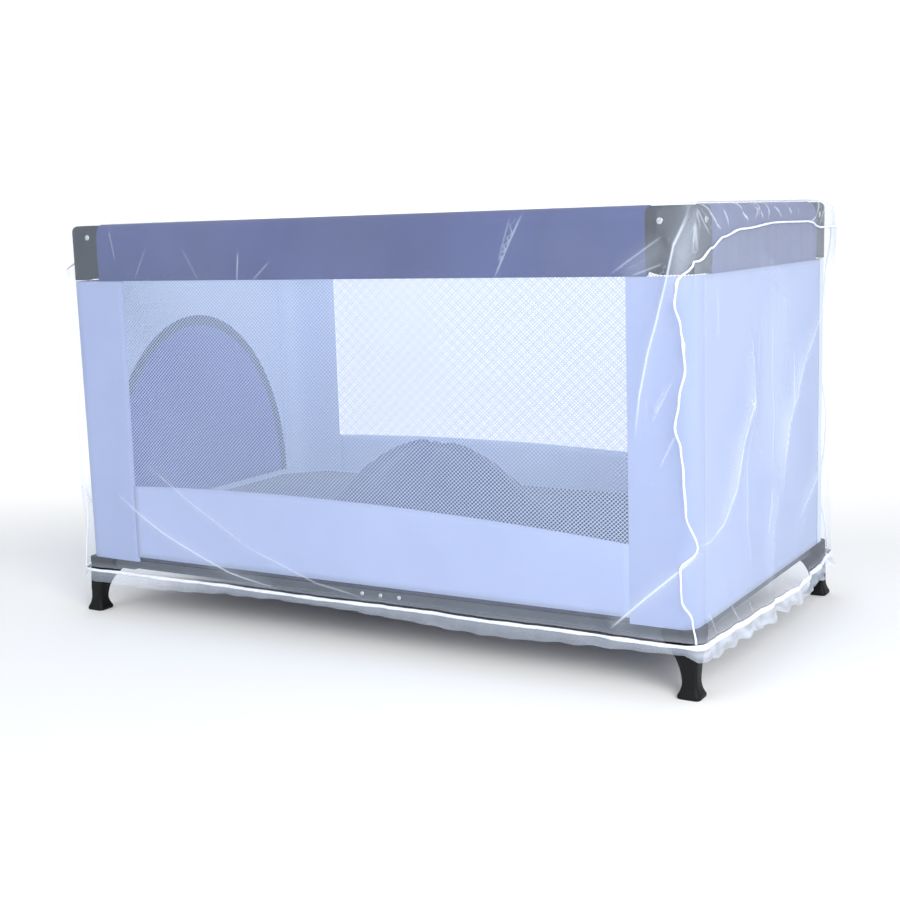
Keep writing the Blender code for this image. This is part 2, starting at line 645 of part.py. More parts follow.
def net_panels():
    """Wrap panel and the two end panels."""
    columns, rows = wrap_columns(), wrap_rows()
    roof_first, roof_last = len(SKIRT_ROWS) - 1, len(SKIRT_ROWS) + ROOF_STEPS + 1

    def in_laps(across, up, level):
        in_lap = across < LAP_COLUMNS + 0.01 or across > len(columns) - 1 - LAP_COLUMNS - 0.01
        return in_lap and not level and roof_first < up < roof_last

    cloth("net_wrap", columns, rows, wrap_point, in_laps, NET)

    def on_top_edge(across, up, level):
        return level and up > len(SKIRT_ROWS) - 1.01 and 1 < across < len(end_columns()) - 2

    for name, side in (("right", 1), ("left", -1)):
        columns_here = end_columns() if side > 0 else end_columns()[::-1]
        cloth("net_end_" + name, columns_here, list(SKIRT_ROWS),
              lambda column, share, side=side: end_point(column, share, side), on_top_edge, NET)


def seam_shares():
    """Places along an end seam where both of its panels have a corner."""
    roof = roof_shares()
    places = [share - 1 for share in SKIRT_ROWS]
    for low, high in zip(roof, roof[1:]):
        cuts = FINE_CUTS + 1
        places += [low + (high - low) * (n + 1) / cuts for n in range(cuts)]
    return places + [2 - share for share in reversed(SKIRT_ROWS)][1:]


def end_seams():
    """White piping that closes each end panel to the wrap panel."""
    for name, side in (("right", 1), ("left", -1)):
        curve = bpy.data.curves.new("net_seam_" + name, "CURVE")
        curve.dimensions = "3D"
        curve.bevel_depth = SEAM_RADIUS
        curve.bevel_resolution = 0
        curve.use_fill_caps = True
        curve.render_resolution_u = 0
        places = seam_shares()
        spline = curve.splines.new("POLY")
        spline.points.add(len(places) - 1)
        for point, along in zip(spline.points, places):
            at, out = on_net(seam_point(along, side))
            point.co = (*(at + out * (NET_THICK + SEAM_LIFT + SEAM_RADIUS)), 1)
        curve.materials.append(PIPING)
        made = bpy.data.objects.new("net_seam_" + name, curve)
        PARTS.objects.link(made)


def hem_ring():
    """Points of the hem from above, anticlockwise from the front left corner, with the way out."""
    long_steps, short_steps = 24, 14
    flat_x, flat_y = NET_HALF_LENGTH - NET_ROUND, NET_HALF_WIDTH - NET_ROUND
    places = []
    for n in range(long_steps + 1):
        places.append(Vector((flat_x * (2 * n / long_steps - 1), -NET_HALF_WIDTH, NET_BOTTOM)))
    places.append(Vector((NET_HALF_LENGTH, -NET_HALF_WIDTH, NET_BOTTOM)))
    for n in range(short_steps + 1):
        places.append(Vector((NET_HALF_LENGTH, flat_y * (2 * n / short_steps - 1), NET_BOTTOM)))
    places.append(Vector((NET_HALF_LENGTH, NET_HALF_WIDTH, NET_BOTTOM)))
    for n in range(long_steps + 1):
        places.append(Vector((flat_x * (1 - 2 * n / long_steps), NET_HALF_WIDTH, NET_BOTTOM)))
    places.append(Vector((-NET_HALF_LENGTH, NET_HALF_WIDTH, NET_BOTTOM)))
    for n in range(short_steps + 1):
        places.append(Vector((-NET_HALF_LENGTH, flat_y * (1 - 2 * n / short_steps), NET_BOTTOM)))
    places.append(Vector((-NET_HALF_LENGTH, -NET_HALF_WIDTH, NET_BOTTOM)))
    return [on_net(place) for place in places]


def closed_band(name, sections, mat):
    """A ring of four-cornered sections as one closed body, with both walls split the same way."""
    bm = bmesh.new()
    rings = [[bm.verts.new(corner) for corner in section] for section in sections]
    for here, after in zip(rings, rings[1:] + rings[:1]):
        for n in range(4):
            m = (n + 1) % 4
            a, b, c, d = here[n], after[n], after[m], here[m]
            for face in ((a, b, c), (a, c, d)) if n < 2 else ((a, b, d), (b, c, d)):
                bm.faces.new(face)
    return add_mesh(name, bm, mat)


def hem_and_frill():
    """Elastic band all round the bottom, and the net's own edge hanging in ruffles below it."""
    ring = hem_ring()
    band, frill = [], []
    high = NET_BOTTOM - HEM_CLEAR
    for step, (at, out) in enumerate(ring):
        inner = Vector((at.x, at.y, 0)) - out * 0.0006
        outer = inner + out * HEM_THICK
        up, down = Vector((0, 0, high)), Vector((0, 0, HEM_LOW))
        band.append((inner + down, outer + down, outer + up, inner + up))
        wave = 0.5 + 0.5 * sin(step * 1.9)
        long_wave = 0.5 + 0.5 * sin(step * 0.37 + 0.8)
        reach = FRILL_SHORTEST + (FRILL_LONGEST - FRILL_SHORTEST) * (0.25 * wave + 0.75 * long_wave)
        top = Vector((0, 0, HEM_LOW - GAP))
        low = Vector((0, 0, HEM_LOW - GAP - reach))
        swing = out * FRILL_FLARE * (0.25 + 0.75 * wave)
        root = inner + out * 0.0008
        frill.append((root + swing + low, root + swing + low + out * NET_THICK,
                      root + top + out * NET_THICK, root + top))
    closed_band("net_hem", band, PIPING)
    closed_band("net_frill", frill, NET)


rail_covers()
corner_caps()
corner_sleeves()
long_walls()
end_walls()
arch_panel()
base_and_mattress()
bunched_cover()
feet()
lower_bars()
hinge_brackets()
net_panels()
end_seams()
hem_and_frill()
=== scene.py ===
# %% [markdown]
# # A mosquito net pulled over a folding travel cot
# The net is a sheer white cover with an elastic hem. It is drawn tight over a padded cot, so what the
# eye reads is mostly the cot behind a pale veil, with bright lines wherever the net is creased or gathered.
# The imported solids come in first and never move; every finer piece is built on them, in metres.

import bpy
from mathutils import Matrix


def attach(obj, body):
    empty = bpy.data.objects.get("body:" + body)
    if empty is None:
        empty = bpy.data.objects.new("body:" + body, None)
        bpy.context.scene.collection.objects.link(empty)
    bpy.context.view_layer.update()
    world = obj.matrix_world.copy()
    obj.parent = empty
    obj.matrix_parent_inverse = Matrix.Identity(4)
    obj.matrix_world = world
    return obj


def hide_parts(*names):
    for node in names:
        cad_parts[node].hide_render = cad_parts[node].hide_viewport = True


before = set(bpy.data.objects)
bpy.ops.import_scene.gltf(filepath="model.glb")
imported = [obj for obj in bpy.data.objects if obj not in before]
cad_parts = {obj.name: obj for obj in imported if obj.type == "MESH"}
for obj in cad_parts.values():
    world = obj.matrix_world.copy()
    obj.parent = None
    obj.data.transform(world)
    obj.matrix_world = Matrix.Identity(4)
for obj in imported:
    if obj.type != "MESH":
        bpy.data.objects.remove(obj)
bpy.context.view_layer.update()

# %% Tools used throughout
from bisect import bisect_right
from math import atan2, cos, exp, hypot, pi, radians, sin

import bmesh
import bpy
from mathutils import Matrix, Vector, noise

# %% [markdown]
# ## The camera
# It stands low at the front right of the cot, level with the rails, and looks a little down and to the left.
# Its place and lens were worked out from the cot's own straight edges, so the solids fall where they should.

# %% Camera
CAMERA_PLACE = (1.3782, -2.2998, 0.7314)
CAMERA_HEADING, CAMERA_PITCH, CAMERA_ROLL = radians(30.958), radians(9.1855), radians(-1.8572)
CAMERA_LENS = 56.63


def camera_axes(heading, pitch, roll):
    """The camera's own axes as a matrix: right, up and backwards."""
    level = Vector((cos(heading), sin(heading), 0))
    ahead = Vector((-sin(heading) * cos(pitch), cos(heading) * cos(pitch), -sin(pitch)))
    upright = level.cross(ahead)
    right = level * cos(roll) + upright * sin(roll)
    up = upright * cos(roll) - level * sin(roll)
    return Matrix((right, up, -ahead)).transposed()


camera = bpy.data.objects.new("camera", bpy.data.cameras.new("camera"))
bpy.context.scene.collection.objects.link(camera)
turn = camera_axes(CAMERA_HEADING, CAMERA_PITCH, CAMERA_ROLL).to_4x4()
camera.matrix_world = Matrix.Translation(CAMERA_PLACE) @ turn
camera.data.lens = CAMERA_LENS
camera.data.sensor_width = 36
bpy.context.scene.camera = camera
print("camera lens", CAMERA_LENS, "mm")

# %% [markdown]
# ## Colours and nodes
# Colours are picked as six-figure sRGB values, as in a paint program, but a shader works with linear light, so
# one function turns them. A second small function adds any node with its settings and its links in one line.

# %% Colour and node helpers


def colour(code):
    """A six-figure sRGB colour as the linear colour that a shader takes."""
    shares = [int(code[at:at + 2], 16) / 255 for at in (0, 2, 4)]
    return [*(s / 12.92 if s <= 0.04045 else ((s + 0.055) / 1.055) ** 2.4 for s in shares), 1]


def add_node(tree, kind, feeds=(), **settings):
    """Adds a node. feeds holds (input, value or socket that feeds it); settings are its own properties."""
    made = tree.nodes.new("ShaderNode" + kind)
    for name, value in settings.items():
        setattr(made, name, value)
    for name, value in feeds:
        if isinstance(value, bpy.types.NodeSocket):
            tree.links.new(value, made.inputs[name])
        else:
            made.inputs[name].default_value = value
    return made


def new_material(name, roughness, **settings):
    """An empty Principled material; settings are its socket names with _ for a space."""
    mat = bpy.data.materials.new(name)
    mat.use_nodes = True
    shader = mat.node_tree.nodes["Principled BSDF"]
    shader.inputs["Roughness"].default_value = roughness
    for socket, value in settings.items():
        shader.inputs[socket.replace("_", " ")].default_value = value
    return mat, mat.node_tree, shader


# %% [markdown]
# ## Woven cloth
# The rail covers, walls and mattress are polyester cloth woven from fine thread. At this distance single
# threads are thinner than a pixel, so the weave is drawn at 2.4 mm and kept faint: it breaks up the surface
# without showing stripes. Broad mottling stands for the slight unevenness of cloth over foam.

# %% Woven cloth
THREAD_DRAWN = 0.0024


def woven(name, light, dark, roughness=0.85, mottle=0.5, relief=0.25):
    """Polyester cloth that varies between two colours, with a fine cross weave in its bump."""
    mat, tree, shader = new_material(name, roughness, Sheen_Weight=0.25, Sheen_Roughness=0.5)
    place = add_node(tree, "TexCoord").outputs["Object"]
    split = add_node(tree, "SeparateXYZ", [("Vector", place)])
    across = add_node(tree, "Math", [(0, split.outputs["X"]), (1, split.outputs["Y"])], operation="ADD")
    turns = 2 * pi / THREAD_DRAWN
    warp = add_node(tree, "Math", [(0, across.outputs[0]), (1, turns)], operation="MULTIPLY")
    weft = add_node(tree, "Math", [(0, split.outputs["Z"]), (1, turns)], operation="MULTIPLY")
    warp = add_node(tree, "Math", [(0, warp.outputs[0])], operation="SINE")
    weft = add_node(tree, "Math", [(0, weft.outputs[0])], operation="SINE")
    weave = add_node(tree, "Math", [(0, warp.outputs[0]), (1, weft.outputs[0])], operation="MULTIPLY")
    broad = add_node(tree, "TexNoise", [("Vector", place), ("Scale", 7.0), ("Detail", 4.0)])
    grain = add_node(tree, "TexNoise", [("Vector", place), ("Scale", 260.0), ("Detail", 2.0)])
    mixed = add_node(tree, "Math", [(0, grain.outputs["Fac"]), (1, 0.35), (2, broad.outputs["Fac"])],
                     operation="MULTIPLY_ADD")
    share = add_node(tree, "MapRange", [("Value", mixed.outputs[0]), ("From Min", 0.45),
                                        ("From Max", 0.90), ("To Min", 0.5 - mottle / 2),
                                        ("To Max", 0.5 + mottle / 2)])
    tint = add_node(tree, "Mix", [("Factor", share.outputs[0]), (6, colour(dark)), (7, colour(light))],
                    data_type="RGBA")
    tree.links.new(tint.outputs[2], shader.inputs["Base Color"])
    height = add_node(tree, "Math", [(0, weave.outputs[0]), (1, 0.5), (2, grain.outputs["Fac"])],
                      operation="MULTIPLY_ADD")
    bump = add_node(tree, "Bump", [("Height", height.outputs[0]), ("Strength", relief),
                                   ("Distance", 0.0006)])
    tree.links.new(bump.outputs[0], shader.inputs["Normal"])
    return mat


RAIL_CLOTH = woven("navy_woven_polyester", "334384", "28366E", mottle=0.7)
PALE_CLOTH = woven("pale_blue_woven_polyester", "AEBDE2", "A2B1D8")
# The same pale blue wall cloth painted lighter as painted light, for the inner faces of the back panel, back
# sleeves and left end wall.
FAR_WALL_CLOTH_PAINTED_LIGHTER = woven("wall_polyester_painted_lighter_far_side", "DAE7FF", "CEDDFE")
SLEEVE_CLOTH = woven("grey_blue_woven_polyester", "A5B4DA", "98A7CE")
MATTRESS_CLOTH = woven("slate_woven_polyester", "404968", "313955")
COVER_CLOTH = woven("slate_blue_brushed_cotton", "515D8C", "343E66", mottle=0.9, relief=0.4)
ARCH_CLOTH = woven("violet_woven_polyester", "6970C2", "5F66B2")
BINDING_CLOTH = woven("dark_slate_tape", "4C5570", "3D455E")
print("woven cloths:", 8)

# %% [markdown]
# ## Honeycomb window mesh
# The long windows are a knitted mesh with staggered holes of about 3 mm, 7 mm apart along the cot. Real holes
# cut in the sheet would be far too many faces, so the material's alpha cuts them. The difference of two cosine
# waves is nought along two sets of crossing diagonals: those are the threads, and between them lie the holes.

# %% Honeycomb mesh
HOLE_PITCH_ALONG, HOLE_PITCH_UP = 0.0072, 0.0064


def honeycomb(name, thread, thread_alpha):
    """Knitted mesh: pale thread with staggered see-through holes."""
    mat, tree, shader = new_material(name, 0.8, Sheen_Weight=0.2)
    shader.inputs["Base Color"].default_value = colour(thread)
    split = add_node(tree, "SeparateXYZ", [("Vector", add_node(tree, "TexCoord").outputs["Object"])])
    waves = []
    for axis, pitch in (("X", HOLE_PITCH_ALONG), ("Z", HOLE_PITCH_UP)):
        angle = add_node(tree, "Math", [(0, split.outputs[axis]), (1, 2 * pi / pitch)],
                         operation="MULTIPLY")
        waves.append(add_node(tree, "Math", [(0, angle.outputs[0])], operation="COSINE").outputs[0])
    lattice = add_node(tree, "Math", [(0, waves[0]), (1, waves[1])], operation="SUBTRACT")
    lattice = add_node(tree, "Math", [(0, lattice.outputs[0])], operation="ABSOLUTE")
    alpha = add_node(tree, "MapRange", [("Value", lattice.outputs[0]), ("From Min", 0.30),
                                        ("From Max", 0.85), ("To Min", thread_alpha),
                                        ("To Max", 0.02)])
    tree.links.new(alpha.outputs[0], shader.inputs["Alpha"])
    return mat


WINDOW_MESH = honeycomb("pale_knitted_mesh", "B6CBF0", 0.85)
print("window mesh holes", HOLE_PITCH_ALONG * 1000, "x", HOLE_PITCH_UP * 1000, "mm apart")

# %% [markdown]
# ## The sheer net
# The net is so fine that a pixel covers several of its holes, so it is a see-through white whose alpha is the
# share that its thread covers. Where the net is creased or gathered, several layers lie over each other and
# the share rises. Each net piece carries three values on its points for this: how far the point lies from the
# nearest crease, how sharp that crease is, and how much the cloth around it is gathered. A distance stays
# straight between points, so the shader can draw a crease finer than the mesh's own faces.

# %% Sheer net
NET_COVER = 0.12
CREASE_WIDTH = 0.0017


def sheer(name, thread, cover):
    """Fine net whose cover rises on creases and where it is gathered."""
    mat, tree, shader = new_material(name, 0.75, Sheen_Weight=0.35, Sheen_Roughness=0.4)
    shader.inputs["Base Color"].default_value = colour(thread)
    place = add_node(tree, "TexCoord").outputs["Object"]
    off, sharp, gathered = (add_node(tree, "Attribute", attribute_name=word).outputs["Fac"]
                            for word in ("crease_off", "crease_sharp", "gathered"))
    square = add_node(tree, "Math", [(0, off), (1, off)], operation="MULTIPLY")
    fall = add_node(tree, "Math", [(0, square.outputs[0]), (1, -1 / CREASE_WIDTH ** 2)],
                    operation="MULTIPLY")
    line = add_node(tree, "Math", [(0, fall.outputs[0])], operation="EXPONENT")
    line = add_node(tree, "Math", [(0, line.outputs[0]), (1, sharp)], operation="MULTIPLY")
    patchy = add_node(tree, "TexNoise", [("Vector", place), ("Scale", 5.0), ("Detail", 3.0)])
    grain = add_node(tree, "TexNoise", [("Vector", place), ("Scale", 330.0), ("Detail", 1.0)])
    total = add_node(tree, "Math", [(0, patchy.outputs["Fac"]), (1, 0.08), (2, cover - 0.04 - 0.025)],
                     operation="MULTIPLY_ADD")
    total = add_node(tree, "Math", [(0, grain.outputs["Fac"]), (1, 0.05), (2, total.outputs[0])],
                     operation="MULTIPLY_ADD")
    total = add_node(tree, "Math", [(0, gathered), (1, 0.40), (2, total.outputs[0])],
                     operation="MULTIPLY_ADD")
    total = add_node(tree, "Math", [(0, line.outputs[0]), (1, 0.62), (2, total.outputs[0])],
                     operation="MULTIPLY_ADD", use_clamp=True)
    tree.links.new(total.outputs[0], shader.inputs["Alpha"])
    return mat


NET = sheer("white_polyester_net", "E4EEFF", NET_COVER)
print("net cover", NET_COVER)

# %% [markdown]
# ## White piping and elastic
# The seams are bound with a narrow white tape, and the hem is a casing with elastic in it. Both are the same
# white polyester thread as the net, but packed tight, so they are matt and almost opaque.

# %% White tape


def tape(name, light, dark, ruffle):
    """Tightly packed white thread with painted shade in the folds of its small gathers; ruffle is the spacing
    of the gathers in metres.
    """
    mat, tree, shader = new_material(name, 0.7, Sheen_Weight=0.3)
    place = add_node(tree, "TexCoord").outputs["Object"]
    gathers_and_fold_shade = add_node(tree, "TexNoise", [("Vector", place), ("Scale", 1 / ruffle), ("Detail", 3.0)])
    # The colour runs from the second colour in the low parts of the gathers to the first on their tops:
    # painted shade in the folds.
    tint = add_node(tree, "Mix", [("Factor", gathers_and_fold_shade.outputs["Fac"]), (6, colour(dark)),
                                  (7, colour(light))], data_type="RGBA")
    tree.links.new(tint.outputs[2], shader.inputs["Base Color"])
    bump = add_node(tree, "Bump", [("Height", gathers_and_fold_shade.outputs["Fac"]), ("Strength", 0.5),
                                   ("Distance", 0.001)])
    tree.links.new(bump.outputs[0], shader.inputs["Normal"])
    return mat


# The second colour of each tape is painted shade for the folds of its gathers; the tape itself is white.
PIPING = tape("white_seam_tape", "FBFDFF", "DDE6F8", 0.006)
ELASTIC = tape("white_elastic_casing", "FFFFFF", "D6E0F4", 0.008)

# %% [markdown]
# ## Moulded plastic and painted steel
# Caps are grey nylon moulded with a fine grain, feet are black nylon, and the bars are steel tube with a dark
# satin paint. Rivets are bright zinc. A moulded grain of about 1 mm gives the plastic its soft highlights.

# %% Hard materials


def moulded(name, base, roughness, grain_mm, metallic=0.0, specular=0.5):
    """Moulded or painted surface: one colour with a fine grain and slightly uneven gloss."""
    mat, tree, shader = new_material(name, roughness, Metallic=metallic, Specular_IOR_Level=specular)
    place = add_node(tree, "TexCoord").outputs["Object"]
    grain = add_node(tree, "TexNoise", [("Vector", place), ("Scale", 1000 / grain_mm), ("Detail", 2.0)])
    worn = add_node(tree, "TexNoise", [("Vector", place), ("Scale", 25.0), ("Detail", 3.0)])
    red, green, blue, opaque = colour(base)
    tint = add_node(tree, "Mix", [("Factor", worn.outputs["Fac"]),
                                  (6, [red * 0.85, green * 0.85, blue * 0.85, opaque]),
                                  (7, [red * 1.15, green * 1.15, blue * 1.15, opaque])],
                    data_type="RGBA")
    tree.links.new(tint.outputs[2], shader.inputs["Base Color"])
    gloss = add_node(tree, "MapRange", [("Value", worn.outputs["Fac"]), ("To Min", roughness - 0.08),
                                        ("To Max", roughness + 0.08)])
    tree.links.new(gloss.outputs[0], shader.inputs["Roughness"])
    bump = add_node(tree, "Bump", [("Height", grain.outputs["Fac"]), ("Strength", 0.15),
                                   ("Distance", 0.0004)])
    tree.links.new(bump.outputs[0], shader.inputs["Normal"])
    return mat


CAP_NYLON = moulded("grey_moulded_nylon", "1A2025", 0.6, 1.0, specular=0.25)
FOOT_NYLON = moulded("black_moulded_nylon", "0B0C0E", 0.55, 1.0, specular=0.25)
BAR_PAINT = moulded("dark_satin_paint_on_steel", "3A424C", 0.4, 1.5)
RIVET_ZINC = moulded("bright_zinc_rivet", "D8DDE2", 0.28, 1.0, metallic=1.0)

# %% [markdown]
# ## Sizes of the cot
# The pieces below repeat the solids' own sizes, so each one lies on the solid that it stands for.

# %% Sizes
COT_LENGTH, COT_WIDTH = 1.250, 0.684
RAIL_TOP, RAIL_BOTTOM, RAIL_DEPTH, RAIL_LIP, RAIL_WAIST = 0.746, 0.641, 0.038, 0.012, 0.030
GAP = 0.0003
WALL_THICK = 0.004
WINDOW_LEFT, WINDOW_RIGHT, WINDOW_SILL, SILL_PEAK, SILL_DROOP = -0.498, 0.518, 0.2615, -0.15, 0.066
PANEL_BOTTOM, SLEEVE_BOTTOM, SLEEVE_TOP = 0.116, 0.1065, 0.6407
SLEEVE_ON_END, CORNER_RADIUS = 0.046, 0.024
CAP_SIDE, CAP_TOP = 0.075, 0.744
CORNERS = (("front_right", 1, -1), ("front_left", -1, -1), ("back_right", 1, 1), ("back_left", -1, 1))

# %% [markdown]
# ## Small helpers for shapes
# Most soft pieces start as a flat grid whose points are then moved to their place. One function links a
# finished mesh as an object at the origin, gives it its material and lets it ride on the cot's only body.

# %% Shape helpers


def show(name, bm, mat, stands_for=(), smooth=True):
    """Links a finished bmesh as one object that rides on the cot."""
    mesh = bpy.data.meshes.new(name)
    bm.to_mesh(mesh)
    bm.free()
    mesh.materials.append(mat)
    if smooth:
        mesh.shade_smooth()
    made = bpy.data.objects.new(name, mesh)
    bpy.context.scene.collection.objects.link(made)
    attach(made, "root")
    if stands_for:
        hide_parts(*stands_for)
    return made


def arc(centre, radius, start, end, steps):
    """Points along an arc, both ends included; angles in quarter turns."""
    angles = (pi / 2 * (start + (end - start) * step / steps) for step in range(steps + 1))
    return [(centre[0] + radius * cos(a), centre[1] + radius * sin(a)) for a in angles]


def even_loop(points, spacing):
    """A closed line of flat points, walked at an even spacing."""
    closed = [Vector(p) for p in points] + [Vector(points[0])]
    lengths = [(b - a).length for a, b in zip(closed, closed[1:])]
    count = max(8, round(sum(lengths) / spacing))
    walked, at, start = [], 0, 0.0
    for step in range(count):
        target = sum(lengths) * step / count
        while start + lengths[at] < target:
            start += lengths[at]
            at += 1
        walked.append(closed[at].lerp(closed[at + 1], (target - start) / lengths[at]))
    return walked


def grid_of(steps_across, steps_up):
    """A flat grid whose points hold their own step numbers as x and y."""
    bm = bmesh.new()
    bmesh.ops.create_grid(bm, x_segments=steps_across, y_segments=steps_up, size=1.0)
    for vert in bm.verts:
        vert.co = (round((vert.co.x + 1) / 2 * steps_across), round((vert.co.y + 1) / 2 * steps_up), 0)
    return bm


def soft_body(name, section, run, spacing, place, mat, stands_for):
    """A closed padded body: a section carried along a run. place gives each point from run and section."""
    loop = even_loop(section, spacing)
    steps = round(run / spacing)
    bm = grid_of(len(loop), steps)
    for vert in bm.verts:
        at = loop[int(vert.co.x) % len(loop)]
        vert.co = place(run * (vert.co.y / steps - 0.5), at.x, at.y)
    bmesh.ops.remove_doubles(bm, verts=bm.verts, dist=0.00005)
    bmesh.ops.holes_fill(bm, edges=[edge for edge in bm.edges if edge.is_boundary])
    bmesh.ops.recalc_face_normals(bm, faces=bm.faces)
    made = show(name, bm, mat, stands_for)
    made.data.set_sharp_from_angle(angle=0.9)
    return made


def ripple(x, y, z, scale, height):
    """Soft uneven relief in metres, the same on every run."""
    return height * noise.noise(Vector((x, y, z)) * scale)


print("helpers ready")

# %% [markdown]
# ## Padded rail covers
# Each top rail is a steel tube in foam, under a navy cover that is round on top and drawn in to a thin lower
# edge where the wall hangs from it. The cover is cut slightly long, so it puckers a little along its length.
# The section is walked round as a closed loop and carried along the rail.

# %% Rail covers


def rail_section():
    """The rail cover's section as (inwards from the outer face, height)."""
    half = RAIL_DEPTH / 2
    return [(0, RAIL_BOTTOM), (0, RAIL_TOP - half), *arc((half, RAIL_TOP - half), half, 2, 0, 10)[1:],
            (half * 1.4, RAIL_BOTTOM + RAIL_WAIST), (RAIL_LIP, RAIL_BOTTOM)]


def rail_relief(run, inwards, up):
    """How far the cover stands out: fuller at mid height, with puckers across it."""
    share = (up - RAIL_BOTTOM) / (RAIL_TOP - RAIL_BOTTOM)
    full = 0.0014 * sin(pi * min(1, max(0, share * 1.25)))
    pucker = ripple(run * 9, inwards, up * 2.2, 1.0, 0.0011) + ripple(run * 30, 4, up * 6, 1.0, 0.0004)
    return (full + pucker) * min(1, share * 6)


def rail_cover(name, run, place, seed):
    """One rail cover, put in place by place(run, inwards, up)."""
    def relieved(along, inwards, up):
        out = rail_relief(along + seed, inwards, up) if inwards < RAIL_DEPTH / 2 else 0
        return place(along, inwards - out, up)
    return soft_body("padded_rail_" + name, rail_section(), run, 0.008, relieved, RAIL_CLOTH,
                     ["rail_cover_" + name])


long_run = COT_LENGTH - 2 * CAP_SIDE - 2 * GAP
short_run = COT_WIDTH - 2 * CAP_SIDE - 2 * GAP
rail_cover("front", long_run, lambda s, i, z: (s, i - COT_WIDTH / 2, z), 0)
rail_cover("back", long_run, lambda s, i, z: (s, COT_WIDTH / 2 - i, z), 3)
rail_cover("left", short_run, lambda s, i, z: (i - COT_LENGTH / 2, s, z), 6)
rail_cover("right", short_run, lambda s, i, z: (COT_LENGTH / 2 - i, s, z), 9)
print("rail covers", round(long_run, 3), "and", round(short_run, 3), "m long")

# %% [markdown]
# ## Corner sleeves
# The wall cloth is sewn round each corner post as a tall sleeve. Only its cloth is made here, thin on both
# sides and a little thicker in the corner. It hangs slightly loose, so long shallow waves run down it.

# %% Corner sleeves


def sleeve_section(sx, sy):
    """A sleeve from above, the same as its solid."""
    x, y = COT_LENGTH / 2, COT_WIDTH / 2
    edge = (WINDOW_RIGHT if sx > 0 else -WINDOW_LEFT) + GAP
    corner = arc((x - CORNER_RADIUS, y - CORNER_RADIUS), CORNER_RADIUS, 0, 1, 8)
    points = [(x, y - SLEEVE_ON_END), *corner, (edge, y), (edge, y - WALL_THICK),
              (x - 0.026, y - WALL_THICK), (x - 0.011, y - 0.011), (x - WALL_THICK, y - 0.026),
              (x - WALL_THICK, y - SLEEVE_ON_END)]
    return [(sx * px, sy * py) for px, py in points]


tall = SLEEVE_TOP - SLEEVE_BOTTOM
middle = (SLEEVE_TOP + SLEEVE_BOTTOM) / 2
for name, sx, sy in CORNERS:
    def hang(up, x, y, sx=sx, sy=sy):
        """Waves in the sleeve, always inwards so that it stays inside the net."""
        wave = 0.0010 + ripple(x * 14, y * 14, up * 2.5, 1.0, 0.0016)
        return (x - sx * max(0, wave), y - sy * max(0, wave), middle + up)
    # The back sleeves take the wall cloth painted lighter, as painted light on the far side of the cot.
    soft_body("corner_cloth_" + name, sleeve_section(sx, sy), tall, 0.008, hang,
              SLEEVE_CLOTH if sy < 0 else FAR_WALL_CLOTH_PAINTED_LIGHTER,
              ["corner_sleeve_" + name])
print("corner sleeves", round(tall, 3), "m tall")

# %% [markdown]
# ## Walls, lower panels and windows
# The end walls and the panels below the windows are single cloth pulled tight between the posts. Each is a
# grid laid between a lower and an upper edge line, moved very slightly in and out, and given its thickness
# by Solidify. The window meshes are the same grid without any thickness.

# %% Walls


def sill(x):
    """Height of the window's lower edge, which droops to both sides of its peak."""
    return WINDOW_SILL - SILL_DROOP * (x - SILL_PEAK) ** 2


def wall(name, ends, low, high, place, mat, stands_for, thick=0.0):
    """A cloth wall between two edge lines and two posts; place gives a point from (along, up, way in)."""
    spacing = 0.012
    first, last = ends
    steps = round((last - first) / spacing)
    rises = round(max(high(first) - low(first), high(last) - low(last)) / spacing)
    bm = grid_of(steps, rises)
    for vert in bm.verts:
        along = first + (last - first) * vert.co.x / steps
        rise = vert.co.y / rises
        up = low(along) + (high(along) - low(along)) * rise
        edge = min(1, 6 * min(rise, 1 - rise, vert.co.x / steps, 1 - vert.co.x / steps))
        inward = edge * abs(ripple(along * 5, up * 7, len(name), 1.0, 0.0030))
        vert.co = place(along, up, inward)
    bmesh.ops.recalc_face_normals(bm, faces=bm.faces)
    made = show(name, bm, mat, stands_for)
    if thick:
        solid = made.modifiers.new("cloth", "SOLIDIFY")
        solid.thickness = thick
        solid.offset = 0
    return (made, max(high(first) - low(first), high(0) - low(0)))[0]


for name, side in (("front", -1), ("back", 1)):
    def on_long(x, z, inward, side=side):
        return (x, side * (COT_WIDTH / 2 - WALL_THICK / 2 - inward), z)
    # The back panel takes the wall cloth painted lighter, as painted light on the far side of the cot.
    wall("panel_cloth_" + name, (WINDOW_LEFT, WINDOW_RIGHT), lambda x: PANEL_BOTTOM, sill, on_long,
         PALE_CLOTH if side < 0 else FAR_WALL_CLOTH_PAINTED_LIGHTER, ["lower_panel_" + name],
         0.003)
    wall("window_knit_" + name, (WINDOW_LEFT, WINDOW_RIGHT), sill, lambda x: SLEEVE_TOP, on_long,
         WINDOW_MESH, ["window_mesh_" + name])
end_half = COT_WIDTH / 2 - SLEEVE_ON_END - GAP
for name, side in (("left", -1), ("right", 1)):
    def on_end(y, z, inward, side=side):
        return (side * (COT_LENGTH / 2 - WALL_THICK / 2 - inward * 0.4), y, z)
    # The left end wall takes the wall cloth painted lighter, as painted light on the far side of the cot.
    wall("end_cloth_" + name, (-end_half, end_half), lambda y: SLEEVE_BOTTOM, lambda y: SLEEVE_TOP,
         on_end, PALE_CLOTH if side > 0 else FAR_WALL_CLOTH_PAINTED_LIGHTER, ["end_wall_" + name],
         0.003)
print("walls in place")

# %% [markdown]
# ## Arched panel on the left end
# Inside the left end wall a violet arch is sewn on, bound with a dark tape. The arch is half an ellipse: the
# grid's columns are squeezed under it, and the tape is a narrow grid bent along the same curve.

